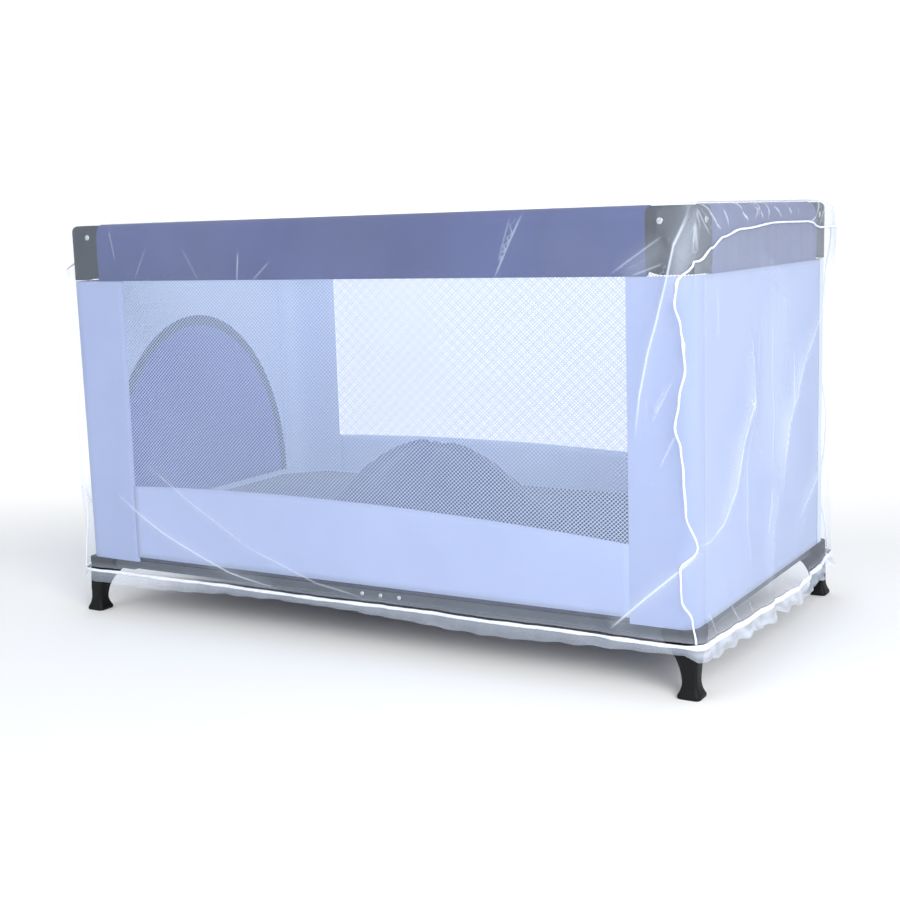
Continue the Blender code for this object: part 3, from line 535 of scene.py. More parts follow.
# %% Arched panel
ARCH_HALF_WIDTH, ARCH_BOTTOM, ARCH_RISE, ARCH_TAPE = 0.290, 0.176, 0.376, 0.022
ARCH_FACE = -COT_LENGTH / 2 + WALL_THICK + GAP


def arch_point(angle, inset, out):
    """A point on the arch at an angle from its right foot, drawn in by inset."""
    return (ARCH_FACE + out, (ARCH_HALF_WIDTH - inset) * cos(angle),
            ARCH_BOTTOM + (ARCH_RISE - inset) * sin(angle))


bm = grid_of(48, 24)
for vert in bm.verts:
    angle = pi * vert.co.x / 48
    rise = vert.co.y / 24
    x, y, z = arch_point(angle, ARCH_TAPE - 0.002, 0.0008 + 0.0008 * sin(pi * rise))
    vert.co = (x, y, ARCH_BOTTOM + (z - ARCH_BOTTOM) * rise)
bmesh.ops.remove_doubles(bm, verts=bm.verts, dist=0.0002)
bmesh.ops.recalc_face_normals(bm, faces=bm.faces)
arch = show("arch_cloth", bm, ARCH_CLOTH, ["arch_panel"])

bm = grid_of(72, 6)
for vert in bm.verts:
    round_off = 0.0030 * sin(pi * vert.co.y / 6)
    vert.co = arch_point(pi * vert.co.x / 72, ARCH_TAPE * vert.co.y / 6, 0.0005 + round_off)
bmesh.ops.recalc_face_normals(bm, faces=bm.faces)
arch_tape = show("arch_tape", bm, BINDING_CLOTH, ["arch_binding"])
print("arch", 2 * ARCH_HALF_WIDTH, "x", ARCH_RISE, "m")

# %% [markdown]
# ## Floor board, mattress and bunched cover
# The board and the thin mattress already have the right outline, so their solids are copied and their loose
# triangles merged, and the board's edges are rounded by a Bevel. The cover heaped on the mattress is a
# flattened
# ball: its upper half follows a mound with folds drawn together at the top, and its lower half lies flat.

# %% Board and mattress


def softened(node, name, mat, width, segments):
    """A copy of a solid with its triangles merged and its edges rounded."""
    bm = bmesh.new()
    bm.from_mesh(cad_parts[node].data)
    bmesh.ops.remove_doubles(bm, verts=bm.verts, dist=0.00005)
    bmesh.ops.dissolve_limit(bm, angle_limit=0.02, verts=bm.verts, edges=bm.edges)
    made = show(name, bm, mat, [node], smooth=True)
    made.data.set_sharp_from_angle(angle=0.6)
    if width:
        edge = made.modifiers.new("rounded", "BEVEL")
        edge.width = width
        edge.segments = segments
        edge.limit_method = "ANGLE"
        edge.angle_limit = 0.5
        edge.harden_normals = True
    return made


softened("base_board", "floor_board", MATTRESS_CLOTH, 0.002, 2)
softened("mattress", "mattress_pad", MATTRESS_CLOTH, 0.0, 0)

# %% Bunched cover
HEAP_CENTRE, HEAP_HALF_LENGTH, HEAP_HALF_WIDTH, HEAP_HEIGHT = (-0.020, -0.030), 0.250, 0.150, 0.150
MATTRESS_TOP = 0.172


def heap_height(x, y):
    """Height of the cover over the mattress: a mound with creases running to its drawn-in top."""
    along, across = x / HEAP_HALF_LENGTH, y / HEAP_HALF_WIDTH
    away = hypot(along, across)
    mound = HEAP_HEIGHT * max(0.0, 1 - away ** 1.7)
    spread = min(1.0, away * 2.2)
    creases = cos(7 * atan2(across, along) + 0.6) * 0.012 * spread * max(0.0, 1 - away)
    fine = ripple(x * 22, y * 22, 0, 1.0, 0.010) * max(0.0, 1 - away) + ripple(x, y, 2, 60, 0.003)
    pinch = 0.026 * exp(-((x - 0.012) / 0.020) ** 2) * exp(-((y + 0.080) / 0.090) ** 2)
    return max(0.004, mound + creases + fine * spread - pinch)


bm = bmesh.new()
bmesh.ops.create_uvsphere(bm, u_segments=96, v_segments=48, radius=1.0)
for vert in bm.verts:
    x, y = vert.co.x * HEAP_HALF_LENGTH, vert.co.y * HEAP_HALF_WIDTH
    up = heap_height(x, y) if vert.co.z > 0.001 else 0.0
    vert.co = (HEAP_CENTRE[0] + x, HEAP_CENTRE[1] + y, MATTRESS_TOP + GAP + up)
bmesh.ops.smooth_vert(bm, verts=[v for v in bm.verts if v.co.z > 0.18], factor=0.4,
                      use_axis_x=True, use_axis_y=True, use_axis_z=True)
bmesh.ops.recalc_face_normals(bm, faces=bm.faces)
heap = show("heaped_cover", bm, COVER_CLOTH, ["bunched_cover"])
print("heap top", round(max(v.co.z for v in heap.data.vertices), 3), "m")

# %% [markdown]
# ## Corner caps
# A grey cap is moulded over each corner where two rails meet. Seen from the side its inner lower corner is
# rounded off. The plan is extruded upwards in thin layers, the lower layers are lifted near both inner ends,
# and the top edge is rounded by drawing the upper layers in.

# %% Corner caps
CAP_LAYERS = 16
CAP_EDGE = 0.011


def cap_plan():
    """A cap from above, for the corner with both signs positive."""
    x, y = COT_LENGTH / 2, COT_WIDTH / 2
    corner = arc((x - CORNER_RADIUS, y - CORNER_RADIUS), CORNER_RADIUS, 0, 1, 8)
    return [(x, y - CAP_SIDE), *corner, (x - CAP_SIDE, y), (x - CAP_SIDE, y - RAIL_DEPTH),
            (x - RAIL_DEPTH, y - CAP_SIDE)]


def corner_cap(name, sx, sy):
    """One moulded cap."""
    loop = even_loop(cap_plan(), 0.004)
    centre = Vector((COT_LENGTH / 2 - 0.030, COT_WIDTH / 2 - 0.030))
    bm = grid_of(len(loop), CAP_LAYERS)
    for vert in bm.verts:
        at = loop[int(vert.co.x) % len(loop)]
        share = vert.co.y / CAP_LAYERS
        inner = max(0.0, min(1.0, 1 - (at.x - COT_LENGTH / 2 + CAP_SIDE) / 0.030),
                    min(1.0, 1 - (at.y - COT_WIDTH / 2 + CAP_SIDE) / 0.030))
        low = RAIL_BOTTOM + 0.002 + 0.008 * inner ** 2
        up = low + (CAP_TOP - low) * (1 - (1 - share) ** 1.6)
        rounding = max(0.0, 1 - (CAP_TOP - up) / CAP_EDGE)
        draw = CAP_EDGE * (1 - max(0.0, 1 - rounding ** 2) ** 0.5)
        at = at - (at - centre).normalized() * draw
        vert.co = (sx * at.x, sy * at.y, up)
    bmesh.ops.remove_doubles(bm, verts=bm.verts, dist=0.00005)
    bmesh.ops.holes_fill(bm, edges=[edge for edge in bm.edges if edge.is_boundary])
    bmesh.ops.recalc_face_normals(bm, faces=bm.faces)
    made = show("moulded_cap_" + name, bm, CAP_NYLON, ["corner_cap_" + name])
    made.data.set_sharp_from_angle(angle=0.8)
    return made


for name, sx, sy in CORNERS:
    corner_cap(name, sx, sy)
print("caps", CAP_SIDE * 1000, "mm long each way")

# %% [markdown]
# ## Rivets
# Zinc rivets hold the caps to the rails and the hinge plates to the bars. Each is half a small ball, pressed
# flat, with its axis along the way that it was driven in.

# %% Rivets


def rivets(name, places, radius, rise):
    """Domed rivet heads, at (place, way out) pairs, as one object."""
    bm = bmesh.new()
    for place, out in places:
        made = bmesh.ops.create_uvsphere(bm, u_segments=20, v_segments=10, radius=radius)
        bmesh.ops.scale(bm, verts=made["verts"], vec=(1, 1, rise))
        turned = Vector((0, 0, 1)).rotation_difference(Vector(out)).to_matrix()
        bmesh.ops.rotate(bm, verts=made["verts"], cent=(0, 0, 0), matrix=turned)
        bmesh.ops.translate(bm, verts=made["verts"], vec=place)
    return show(name, bm, RIVET_ZINC)


cap_rivets = []
for name, sx, sy in CORNERS:
    cap_rivets.append(((sx * (COT_LENGTH / 2 - 0.052), sy * COT_WIDTH / 2, 0.722), (0, sy, 0)))
    cap_rivets.append(((sx * COT_LENGTH / 2, sy * (COT_WIDTH / 2 - 0.052), 0.722), (sx, 0, 0)))
rivets("cap_rivets", cap_rivets, 0.0052, 0.35)

# %% [markdown]
# ## Feet
# Each foot is black nylon: a flared base on the floor, a narrow waist, and a block that widens to meet the
# bars. A rounded square is extruded upwards through a short table of sections with its edges kept soft.

# %% Feet
FOOT_INSET = 0.009
FOOT_SECTIONS = ((0.0, 0.0182, 0.0), (0.0015, 0.0190, 0.0), (0.005, 0.0190, 0.0), (0.009, 0.0168, 0.0),
                 (0.014, 0.0146, 0.0), (0.020, 0.0131, 0.0), (0.026, 0.0126, 0.0003),
                 (0.035, 0.0132, 0.0010), (0.045, 0.0145, 0.0020), (0.054, 0.0163, 0.0040),
                 (0.062, 0.0185, 0.0060), (0.070, 0.0216, 0.0092), (0.078, 0.0250, 0.0125),
                 (0.084, 0.0280, 0.0155), (0.0895, 0.0298, 0.0174), (0.105, 0.0300, 0.0175),
                 (0.1062, 0.0292, 0.0175))


def foot(name, sx, sy):
    """One waisted foot."""
    bm = bmesh.new()
    bmesh.ops.create_grid(bm, x_segments=1, y_segments=1, size=1.0)
    bmesh.ops.bevel(bm, geom=bm.verts[:], offset=0.4, segments=5, profile=0.5, affect="VERTICES",
                    material=-1)
    section = bm.faces[:][0]
    first = [vert.co.copy() for vert in section.verts]
    for height, half, shift in FOOT_SECTIONS:
        if height > 0:
            section = bmesh.ops.extrude_discrete_faces(bm, faces=[section])["faces"][0]
        for vert, start in zip(section.verts, first):
            vert.co = (sx * (COT_LENGTH / 2 - FOOT_INSET - shift) + start.x * half,
                       sy * (COT_WIDTH / 2 - FOOT_INSET - shift) + start.y * half, height)
    bmesh.ops.holes_fill(bm, edges=[edge for edge in bm.edges if edge.is_boundary])
    bmesh.ops.recalc_face_normals(bm, faces=bm.faces)
    made = show("moulded_foot_" + name, bm, FOOT_NYLON, ["foot_" + name])
    made.data.set_sharp_from_angle(angle=0.7)
    return made


for name, sx, sy in CORNERS:
    foot(name, sx, sy)
print("feet stand on z", 0.0)

# %% [markdown]
# ## Lower bars and hinge plates
# The bars between the feet are painted steel with a thicker plastic socket at each end. Their solids have the
# right form, so they are only given a small rounded edge.

# %% Bars
for side in ("front", "back", "left", "right"):
    softened("lower_bar_" + side, "steel_bar_" + side, BAR_PAINT, 0.0012, 2)
for side in ("front", "back"):
    softened("hinge_bracket_" + side, "hinge_plate_" + side, BAR_PAINT, 0.0008, 2)
bar_rivets = [((x, side * 0.333, 0.098), (0, side, 0)) for side in (-1, 1)
              for x in (0.011, 0.049, 0.087)]
rivets("bar_rivets", bar_rivets, 0.0040, 0.4)
print("bar rivets", len(bar_rivets))

# %% [markdown]
# ## How the net hangs
# The net hugs a box with rounded edges that stands a few millimetres off the cot. A point is first put on that
# rounded box and then lifted along its outward way by the folds that pull across each side, by small slack
# waves, and by the way down to the hem, which is drawn in under the long sides and bulges at the ends.
# Long folds come from short tables: side, height, half width, how dense the cloth gets there, and the line.

# %% The net's sizes and folds
NET_HALF_LENGTH, NET_HALF_WIDTH, NET_TOP, NET_BOTTOM = 0.6311, 0.3481, 0.7469, 0.0890
NET_ROUND = 0.0186
ROOF_SAG = 0.012
HEM_TUCK, END_BULGE = -0.008, 0.022
SEAM_CORNER = 0.662

LOWER_LEFT_PULL = ((-0.524, 0.237), (-0.474, 0.206), (-0.414, 0.174), (-0.334, 0.141), (-0.263, 0.112),
                   (-0.169, 0.092))
LOWER_RIGHT_PULL = ((0.631, 0.236), (0.609, 0.204), (0.554, 0.156), (0.492, 0.100))
CORNER_PULL = ((-0.3475, 0.2400), (-0.287, 0.264), (-0.233, 0.312), (-0.205, 0.375), (-0.148, 0.430),
               (-0.141, 0.512))
HANGING_FOLD = ((0.328, 0.571), (0.251, 0.548), (0.177, 0.509), (0.115, 0.467), (0.082, 0.417),
                (0.023, 0.377), (-0.020, 0.250))
LEFT_LOW_FOLD = ((0.150, 0.420), (0.240, 0.300), (0.3475, 0.2250))
LEFT_HANGING_FOLD = ((-0.020, 0.640), (-0.040, 0.430), (0.010, 0.260))
LEFT_MIDDLE_FOLD = ((-0.3475, 0.2600), (-0.220, 0.095))
BACK_LOWER_PULL = ((0.540, 0.240), (0.430, 0.180), (0.250, 0.095))
BACK_CORNER_FOLD = ((-0.590, 0.600), (-0.545, 0.450), (-0.520, 0.330))
BACK_LOW_FOLD = ((-0.600, 0.230), (-0.500, 0.150), (-0.400, 0.095))
BACK_UPPER_FOLD = ((0.600, 0.660), (0.555, 0.520), (0.540, 0.400))

FOLDS = (
    ("front", 0.01, 0.026, 0.25, LOWER_LEFT_PULL),
    ("front", 0.007, 0.026, 0.15, ((-0.450, 0.300), (-0.330, 0.227), (-0.215, 0.163), (-0.070, 0.112))),
    ("front", 0.007, 0.02, 0.2, ((0.615, 0.742), (0.590, 0.635), (0.560, 0.531), (0.536, 0.406))),
    ("front", 0.006, 0.02, 0.5, ((0.621, 0.742), (0.616, 0.700), (0.611, 0.650), (0.598, 0.600))),
    ("front", 0.012, 0.026, 0.4, LOWER_RIGHT_PULL),
    ("front", 0.003, 0.034, 0.3, ((0.585, 0.690), (0.550, 0.660), (0.515, 0.642))),
    ("right", 0.016, 0.034, 0.4, CORNER_PULL),
    ("right", 0.013, 0.036, 0.35, HANGING_FOLD),
    ("right", 0.012, 0.034, 0.3, ((0.300, 0.450), (0.247, 0.352), (0.221, 0.276), (0.112, 0.223),
                                  (0.077, 0.160))),
    ("right", 0.005, 0.15, 0.55, ((0.030, 0.640), (-0.020, 0.480), (-0.070, 0.300))),
    ("right", 0.008, 0.026, 0.3, ((-0.040, 0.300), (-0.060, 0.200), (-0.080, 0.095))),
    ("right", 0.01, 0.03, 0.5, ((0.345, 0.742), (0.338, 0.690), (0.345, 0.630))),
    ("left", 0.016, 0.034, 0.4, LEFT_LOW_FOLD),
    ("left", 0.013, 0.03, 0.4, ((-0.300, 0.560), (-0.160, 0.480), (-0.090, 0.330))),
    ("left", 0.01, 0.028, 0.4, LEFT_HANGING_FOLD),
    ("left", 0.01, 0.028, 0.3, LEFT_MIDDLE_FOLD),
    ("back", 0.011, 0.028, 0.4, BACK_LOWER_PULL),
    ("back", 0.01, 0.028, 0.4, BACK_CORNER_FOLD),
    ("back", 0.01, 0.028, 0.4, BACK_LOW_FOLD),
    ("back", 0.008, 0.028, 0.4, BACK_UPPER_FOLD),
)

# %% [markdown]
# ## Creases
# A crease is the sharp bright line on a fold. The long ones are in a table with how sharp each is; the short
# pleats over the end rails are made by a loop, because they come at an even spacing where the seam gathers.

# %% The net's creases
LONG_CREASES = (
    ("front", 0.75, LOWER_LEFT_PULL),
    ("front", 0.35, ((-0.450, 0.300), (-0.330, 0.227), (-0.215, 0.163))),
    ("front", 0.45, ((-0.215, 0.163), (-0.151, 0.142), (-0.070, 0.112), (0.018, 0.096))),
    ("front", 0.95, ((0.615, 0.744), (0.605, 0.696), (0.590, 0.635), (0.573, 0.572), (0.560, 0.531),
                     (0.545, 0.466), (0.536, 0.406))),
    ("front", 0.85, ((0.618, 0.744), (0.626, 0.709), (0.628, 0.676))),
    ("front", 0.85, LOWER_RIGHT_PULL),
    ("front", 0.4, ((0.596, 0.489), (0.562, 0.425))),
    ("front", 0.4, ((0.603, 0.414), (0.573, 0.356))),
    ("front", 0.25, ((0.582, 0.477), (0.564, 0.439))),
    ("front", 0.3, ((-0.509, 0.737), (-0.498, 0.679))),
    ("front", 0.16, ((-0.419, 0.705), (-0.454, 0.643))),
    ("front", 0.16, ((-0.337, 0.700), (-0.301, 0.642))),
    ("front", 0.45, ((-0.209, 0.690), (-0.215, 0.636))),
    ("front", 0.3, ((-0.142, 0.671), (-0.182, 0.639))),
    ("front", 0.45, ((0.351, 0.739), (0.299, 0.640))),
    ("front", 0.25, ((0.330, 0.733), (0.307, 0.667))),
    ("front", 0.3, ((0.580, 0.699), (0.497, 0.645))),
    ("front", 0.28, ((0.583, 0.660), (0.533, 0.643))),
    ("right", 0.8, CORNER_PULL),
    ("right", 0.3, ((-0.265, 0.616), (-0.266, 0.540))),
    ("right", 0.55, ((-0.138, 0.545), (-0.151, 0.400))),
    ("right", 0.45, ((-0.089, 0.537), (-0.111, 0.440), (-0.148, 0.346), (-0.162, 0.200))),
    ("right", 0.35, ((-0.012, 0.560), (-0.019, 0.480), (-0.026, 0.400), (-0.045, 0.300))),
    ("right", 0.5, ((0.089, 0.491), (0.065, 0.419), (0.032, 0.376), (0.000, 0.300))),
    ("right", 0.6, HANGING_FOLD),
    ("right", 0.6, ((0.300, 0.450), (0.247, 0.352), (0.221, 0.276), (0.112, 0.223), (0.077, 0.196))),
    ("right", 0.5, ((0.330, 0.269), (0.285, 0.114))),
    ("right", 0.3, ((-0.056, 0.280), (-0.079, 0.196))),
    ("right", 0.3, ((-0.162, 0.249), (-0.147, 0.170))),
    ("right", 0.45, ((-0.318, 0.130), (-0.290, 0.095))),
    ("right", 0.45, ((-0.234, 0.128), (-0.205, 0.095))),
    ("right", 0.35, ((-0.169, 0.114), (-0.150, 0.095))),
    ("left", 0.7, LEFT_LOW_FOLD),
    ("left", 0.7, ((-0.300, 0.560), (-0.160, 0.480), (-0.090, 0.330), (-0.060, 0.150))),
    ("left", 0.5, LEFT_HANGING_FOLD),
    ("left", 0.5, LEFT_MIDDLE_FOLD),
    ("back", 0.7, BACK_LOWER_PULL),
    ("back", 0.7, BACK_CORNER_FOLD),
    ("back", 0.6, BACK_LOW_FOLD),
    ("back", 0.5, BACK_UPPER_FOLD),
)
RIGHT_PLEATS = (
    ((-0.345, 0.747), (-0.330, 0.721), (-0.300, 0.699)), ((-0.328, 0.747), (-0.258, 0.707)),
    ((-0.310, 0.747), (-0.290, 0.725)), ((-0.252, 0.747), (-0.219, 0.710)),
    ((-0.184, 0.747), (-0.163, 0.733), (-0.135, 0.716)), ((-0.120, 0.747), (-0.091, 0.732), (-0.106, 0.718)),
    ((-0.091, 0.747), (-0.068, 0.720)), ((-0.045, 0.747), (-0.040, 0.722)),
    ((-0.014, 0.747), (0.002, 0.734), (0.034, 0.721)), ((0.060, 0.747), (0.084, 0.725)),
    ((0.125, 0.747), (0.128, 0.722)), ((0.263, 0.747), (0.226, 0.718), (0.190, 0.708)),
    ((0.302, 0.747), (0.255, 0.706)), ((0.330, 0.747), (0.285, 0.706)),
)

ARCH_SEAM = ((-0.3475, 0.662), (-0.295, 0.680), (-0.248, 0.695), (-0.164, 0.705), (0.0, 0.712),
             (0.171, 0.711), (0.261, 0.699), (0.3475, 0.700))
RIGHT_FRONT_SEAM = ((0.089, 0.629), (0.125, 0.623), (0.157, 0.609), (0.207, 0.611), (0.239, 0.629),
                    (0.290, 0.615), (0.350, 0.612), (0.386, 0.608), (0.418, 0.599), (0.459, 0.606),
                    (0.505, 0.615), (0.539, 0.613), (0.568, 0.609), (0.600, 0.602), (0.630, 0.606),
                    (0.662, 0.627))
PLAIN_SEAM = ((0.089, 0.626), (0.200, 0.612), (0.330, 0.622), (0.480, 0.606), (0.600, 0.616),
              (0.700, 0.626))
PLEAT_PITCH = 0.027


def eased(table, at):
    """A smooth value between the rows of a table of (place, value)."""
    if at <= table[0][0]:
        return table[0][1]
    if at >= table[-1][0]:
        return table[-1][1]
    row = bisect_right([place for place, value in table], at)
    (low, from_value), (high, to_value) = table[row - 1], table[row]
    share = (1 - cos(pi * (at - low) / (high - low))) / 2
    return from_value + (to_value - from_value) * share


def pleat_creases():
    """Short creases over both end rails: those of the right end as seen, those of the left evenly spaced."""
    made = [("right", 0.40 + 0.35 * abs(sin(n * 1.9)), line) for n, line in enumerate(RIGHT_PLEATS)]
    for n in range(24):
        y = -0.311 + PLEAT_PITCH * n + 0.006 * sin(n * 2.4)
        lean = 0.035 * (y / 0.33) ** 3 + 0.008 * sin(n * 1.7)
        made.append(("left", 0.30 + 0.35 * abs(sin(n * 1.3)),
                     ((y - lean, 0.747), (y, eased(ARCH_SEAM, y) + 0.002))))
    return made


def boxed(entry, margin):
    """A table entry with the box that its line reaches, to pass over far ones quickly."""
    line = entry[-1]
    xs, zs = [p[0] for p in line], [p[1] for p in line]
    return entry, (min(xs) - margin, max(xs) + margin, min(zs) - margin, max(zs) + margin)


SIDES = ("front", "back", "left", "right")
FOLDS_BY_SIDE = {side: [boxed(f, 2.5 * f[2]) for f in FOLDS if f[0] == side] for side in SIDES}
CREASES_BY_SIDE = {side: [boxed(c, 0.02) for c in (*LONG_CREASES, *pleat_creases()) if c[0] == side]
                   for side in SIDES}
print("creases:", {side: len(CREASES_BY_SIDE[side]) for side in SIDES})

# %% [markdown]
# ## Putting a point of net in its place
# Every net piece uses the same few functions, so neighbouring pieces meet exactly at their seams.

# %% Net surface


def off_line(across, up, line):
    """Signed distance from a flat point to a line, and the share of the line's length where it is."""
    best, along, length = 9.0, 0.0, 0.0
    for start, end in zip(line, line[1:]):
        dx, dz = end[0] - start[0], end[1] - start[1]
        run = hypot(dx, dz)
        share = ((across - start[0]) * dx + (up - start[1]) * dz) / run ** 2
        share = min(1.0, max(0.0, share))
        ox, oz = across - start[0] - share * dx, up - start[1] - share * dz
        off = hypot(ox, oz)
        if off < abs(best):
            best = off if dx * oz - dz * ox >= 0 else -off
            along = length + share * run
        length += run
    return best, along / length


def near(entries, across, up):
    """The entries whose box holds the point."""
    return (entry for entry, (x0, x1, z0, z1) in entries if x0 < across < x1 and z0 < up < z1)


def folds_on(side, across, up):
    """Outward lift of the folds on one side, and how gathered the cloth is there."""
    lift, gathered = 0.0, 0.0
    for where, height, width, dense, line in near(FOLDS_BY_SIDE[side], across, up):
        off, along = off_line(across, up, line)
        here = exp(-(off / width) ** 2) * (0.55 + 0.45 * sin(pi * along))
        lift += height * here
        gathered += dense * exp(-(off / (width * 0.6)) ** 2) * sin(pi * along) ** 0.5
    return lift, gathered


def crease_on(side, across, up):
    """Signed distance to the nearest crease and its sharpness, which fades at both of its ends."""
    best, sharp = 0.02, 0.0
    for where, strength, line in near(CREASES_BY_SIDE[side], across, up):
        off, along = off_line(across, up, line)
        if abs(off) < abs(best):
            reach = max(0.0, 1 - (abs(off) / 0.014) ** 2)
            best, sharp = off, strength * min(1.0, 5 * along + 0.2, 5 - 5 * along + 0.2) * reach
    return best, sharp


def hem_offset(side, across):
    """How far the hem lies outside the net's upright face."""
    if side in ("front", "back"):
        middle = max(0.0, 1 - (abs(across) / 0.585) ** 6)
        return HEM_TUCK * middle * (0.75 + 0.25 * sin(across * 17))
    middle = max(0.0, 1 - (abs(across) / 0.315) ** 2)
    lean = 1 + 0.35 * sin(across * 9 + (0.4 if side == "right" else 2.0))
    return END_BULGE * middle ** 0.8 * min(lean, 1.25) / 1.25 + 0.003


def slack(side, across, up):
    """Small uneven waves, longer up and down than across, and always outwards."""
    seed = SIDES.index(side) * 5
    rough = noise.noise(Vector((across * 26, up * 6, seed))) + 0.5 * noise.noise(
        Vector((across * 60, up * 14, seed + 2)))
    strong = 1.6 if side in ("left", "right") else 1.0
    low = 1 + 1.2 * max(0.0, 1 - (up - NET_BOTTOM) / 0.10)
    return 0.0013 * strong * low * (0.8 + rough)


def side_lift(side, across, up):
    """Outward lift of one side of the net, with its gathering."""
    lift, gathered = folds_on(side, across, up)
    at_hem = hem_offset(side, across)
    fall = max(0.0, 1 - (up - NET_BOTTOM) / (0.028 if at_hem < 0 else 0.42))
    free = 0.35 + 0.65 * min(1.0, max(0.0, (up - NET_BOTTOM) / 0.05))
    off, sharp = crease_on(side, across, up)
    ridge = 0.0022 * sharp * exp(-(off / 0.006) ** 2)
    smooth = 0.0012 * (1 + sin(across * 21 + up * 9) * cos(up * 13 - across * 5))
    lift = lift * min(1.0, free) + smooth + slack(side, across, up) + ridge + at_hem * fall ** 1.5
    return lift, gathered + 0.3 * max(0.0, 1 - (up - NET_BOTTOM) / 0.012), off, sharp


def on_net(point):
    """Moves a point near the cot onto the net. Gives its place, its way out and its cloth values."""
    inner = Vector((min(max(point.x, NET_ROUND - NET_HALF_LENGTH), NET_HALF_LENGTH - NET_ROUND),
                    min(max(point.y, NET_ROUND - NET_HALF_WIDTH), NET_HALF_WIDTH - NET_ROUND),
                    min(point.z, NET_TOP - NET_ROUND)))
    out = (point - inner).normalized()
    at = inner + out * NET_ROUND
    lift, gathered, off, sharp = 0.0, 0.0, 0.02, 0.0
    for share, side, across in ((out.y, "front" if out.y < 0 else "back", at.x),
                                (out.x, "left" if out.x < 0 else "right", at.y)):
        if abs(share) > 0.01:
            up, bunch, near_off, near_sharp = side_lift(side, across, at.z)
            lift += share ** 2 * up
            gathered += share ** 2 * bunch
            if near_sharp * share ** 2 >= sharp:
                off, sharp = near_off, near_sharp * share ** 2
    if out.z > 0.01:
        free_x = max(0.0, 1 - (at.x / 0.56) ** 4)
        free_y = max(0.0, 1 - (at.y / 0.28) ** 2)
        wave = 0.0012 * noise.noise(Vector((at.x * 7, at.y * 9, 3)))
        lift += out.z ** 2 * (wave - ROOF_SAG) * free_x * free_y
    return at + out * lift, out, (off, sharp, gathered)


print("front face at", [round(v, 4) for v in on_net(Vector((0, -NET_HALF_WIDTH, 0.4)))[0]])

# %% [markdown]
# ## The net's three pieces
# The wrap panel runs up the front, over the top and down the back, and laps a few centimetres over both ends.
# An end panel closes each end below the lap. Each piece is a flat grid; its columns and rows are places along
# and round the cot, and its points are then put on the net's surface.

# %% Wrap panel and end panels
LAP_START, LAP_STEPS = 0.570, 4
END_HAZE, SEAM_HAZE, HAZE_FROM, HAZE_RISE = 0.10, 0.28, 0.620, 0.030
RIGHT_LAP_BUNCHED, LEFT_LAP_BUNCHED, CORNER_BUNCHED = 0.30, 0.15, 0.15
ROW_STEP, COLUMN_STEP = 0.0062, 0.0062


def seam_point(along, side):
    """A point on an end seam: -1 to 0 up the front corner, 0 to 1 over the end, 1 to 2 down the back."""
    end_top = ARCH_SEAM[-1][1]
    if along <= 0:
        up = NET_BOTTOM + (SEAM_CORNER - NET_BOTTOM) * (along + 1)
        table = RIGHT_FRONT_SEAM if side > 0 else PLAIN_SEAM
        return Vector((side * eased(table, up), -NET_HALF_WIDTH, up))
    if along < 1:
        y = NET_HALF_WIDTH * (2 * along - 1)
        return Vector((side * NET_HALF_LENGTH, y, eased(ARCH_SEAM, y)))
    up = end_top + (NET_BOTTOM - end_top) * (along - 1)
    return Vector((side * eased(PLAIN_SEAM, up), NET_HALF_WIDTH, up))


def over_the_cot(x, along):
    """A point on the straight way over the cot, before it is rounded."""
    if along <= 0:
        return Vector((x, -NET_HALF_WIDTH, NET_BOTTOM + (NET_TOP - NET_BOTTOM) * (along + 1)))
    if along < 1:
        return Vector((x, NET_HALF_WIDTH * (2 * along - 1), NET_TOP))
    return Vector((x, NET_HALF_WIDTH, NET_TOP + (NET_BOTTOM - NET_TOP) * (along - 1)))


def even(first, last, step):
    """Evenly spaced places from first to last, both included."""
    count = max(1, round(abs(last - first) / step))
    return [first + (last - first) * n / count for n in range(count + 1)]


def pleat(along, share):
    """Height of the short pleats where the lap is gathered to the arched seam."""
    if not 0 < along < 1:
        return 0.0
    y = NET_HALF_WIDTH * (2 * along - 1)
    wave = 1 - 2 * abs((y / PLEAT_PITCH + 0.3 * sin(y * 11)) % 1 - 0.5)
    at_corner = min(1.0, 8 * along, 8 - 8 * along)
    return 0.0040 * wave * at_corner * sin(pi * share / LAP_STEPS)


def wrap_place(column, along):
    """A point of the wrap panel and its cloth values."""
    side = 1 if column >= 0 else -1
    share = abs(column) - LAP_START
    if share <= 0:
        at, out, cloth = on_net(over_the_cot(column, along))
        return at, cloth
    seam = seam_point(along, side)
    start = over_the_cot(side * LAP_START, along)
    if 0 <= along <= 1:
        path = (start, Vector((side * (NET_HALF_LENGTH - NET_ROUND), start.y, NET_TOP)),
                Vector((side * NET_HALF_LENGTH, start.y, NET_TOP)),
                Vector((side * NET_HALF_LENGTH, start.y, NET_TOP - NET_ROUND)), seam)
    else:
        path = [start.lerp(seam, n / LAP_STEPS) for n in range(LAP_STEPS + 1)]
    low = min(int(share + 1e-6), LAP_STEPS - 1)
    at, out, (off, sharp, gathered) = on_net(path[low].lerp(path[low + 1], share - low))
    bunched = 0.0
    if 0 <= along <= 1:
        most = RIGHT_LAP_BUNCHED if side > 0 else LEFT_LAP_BUNCHED
        bunched = most * min(1.0, share / LAP_STEPS + 0.2)
    if side > 0 and along < 0:
        bunched += CORNER_BUNCHED * max(0.0, 1 - abs(along) / 0.14)
    return at + out * pleat(along, share), (off, sharp, gathered + bunched)


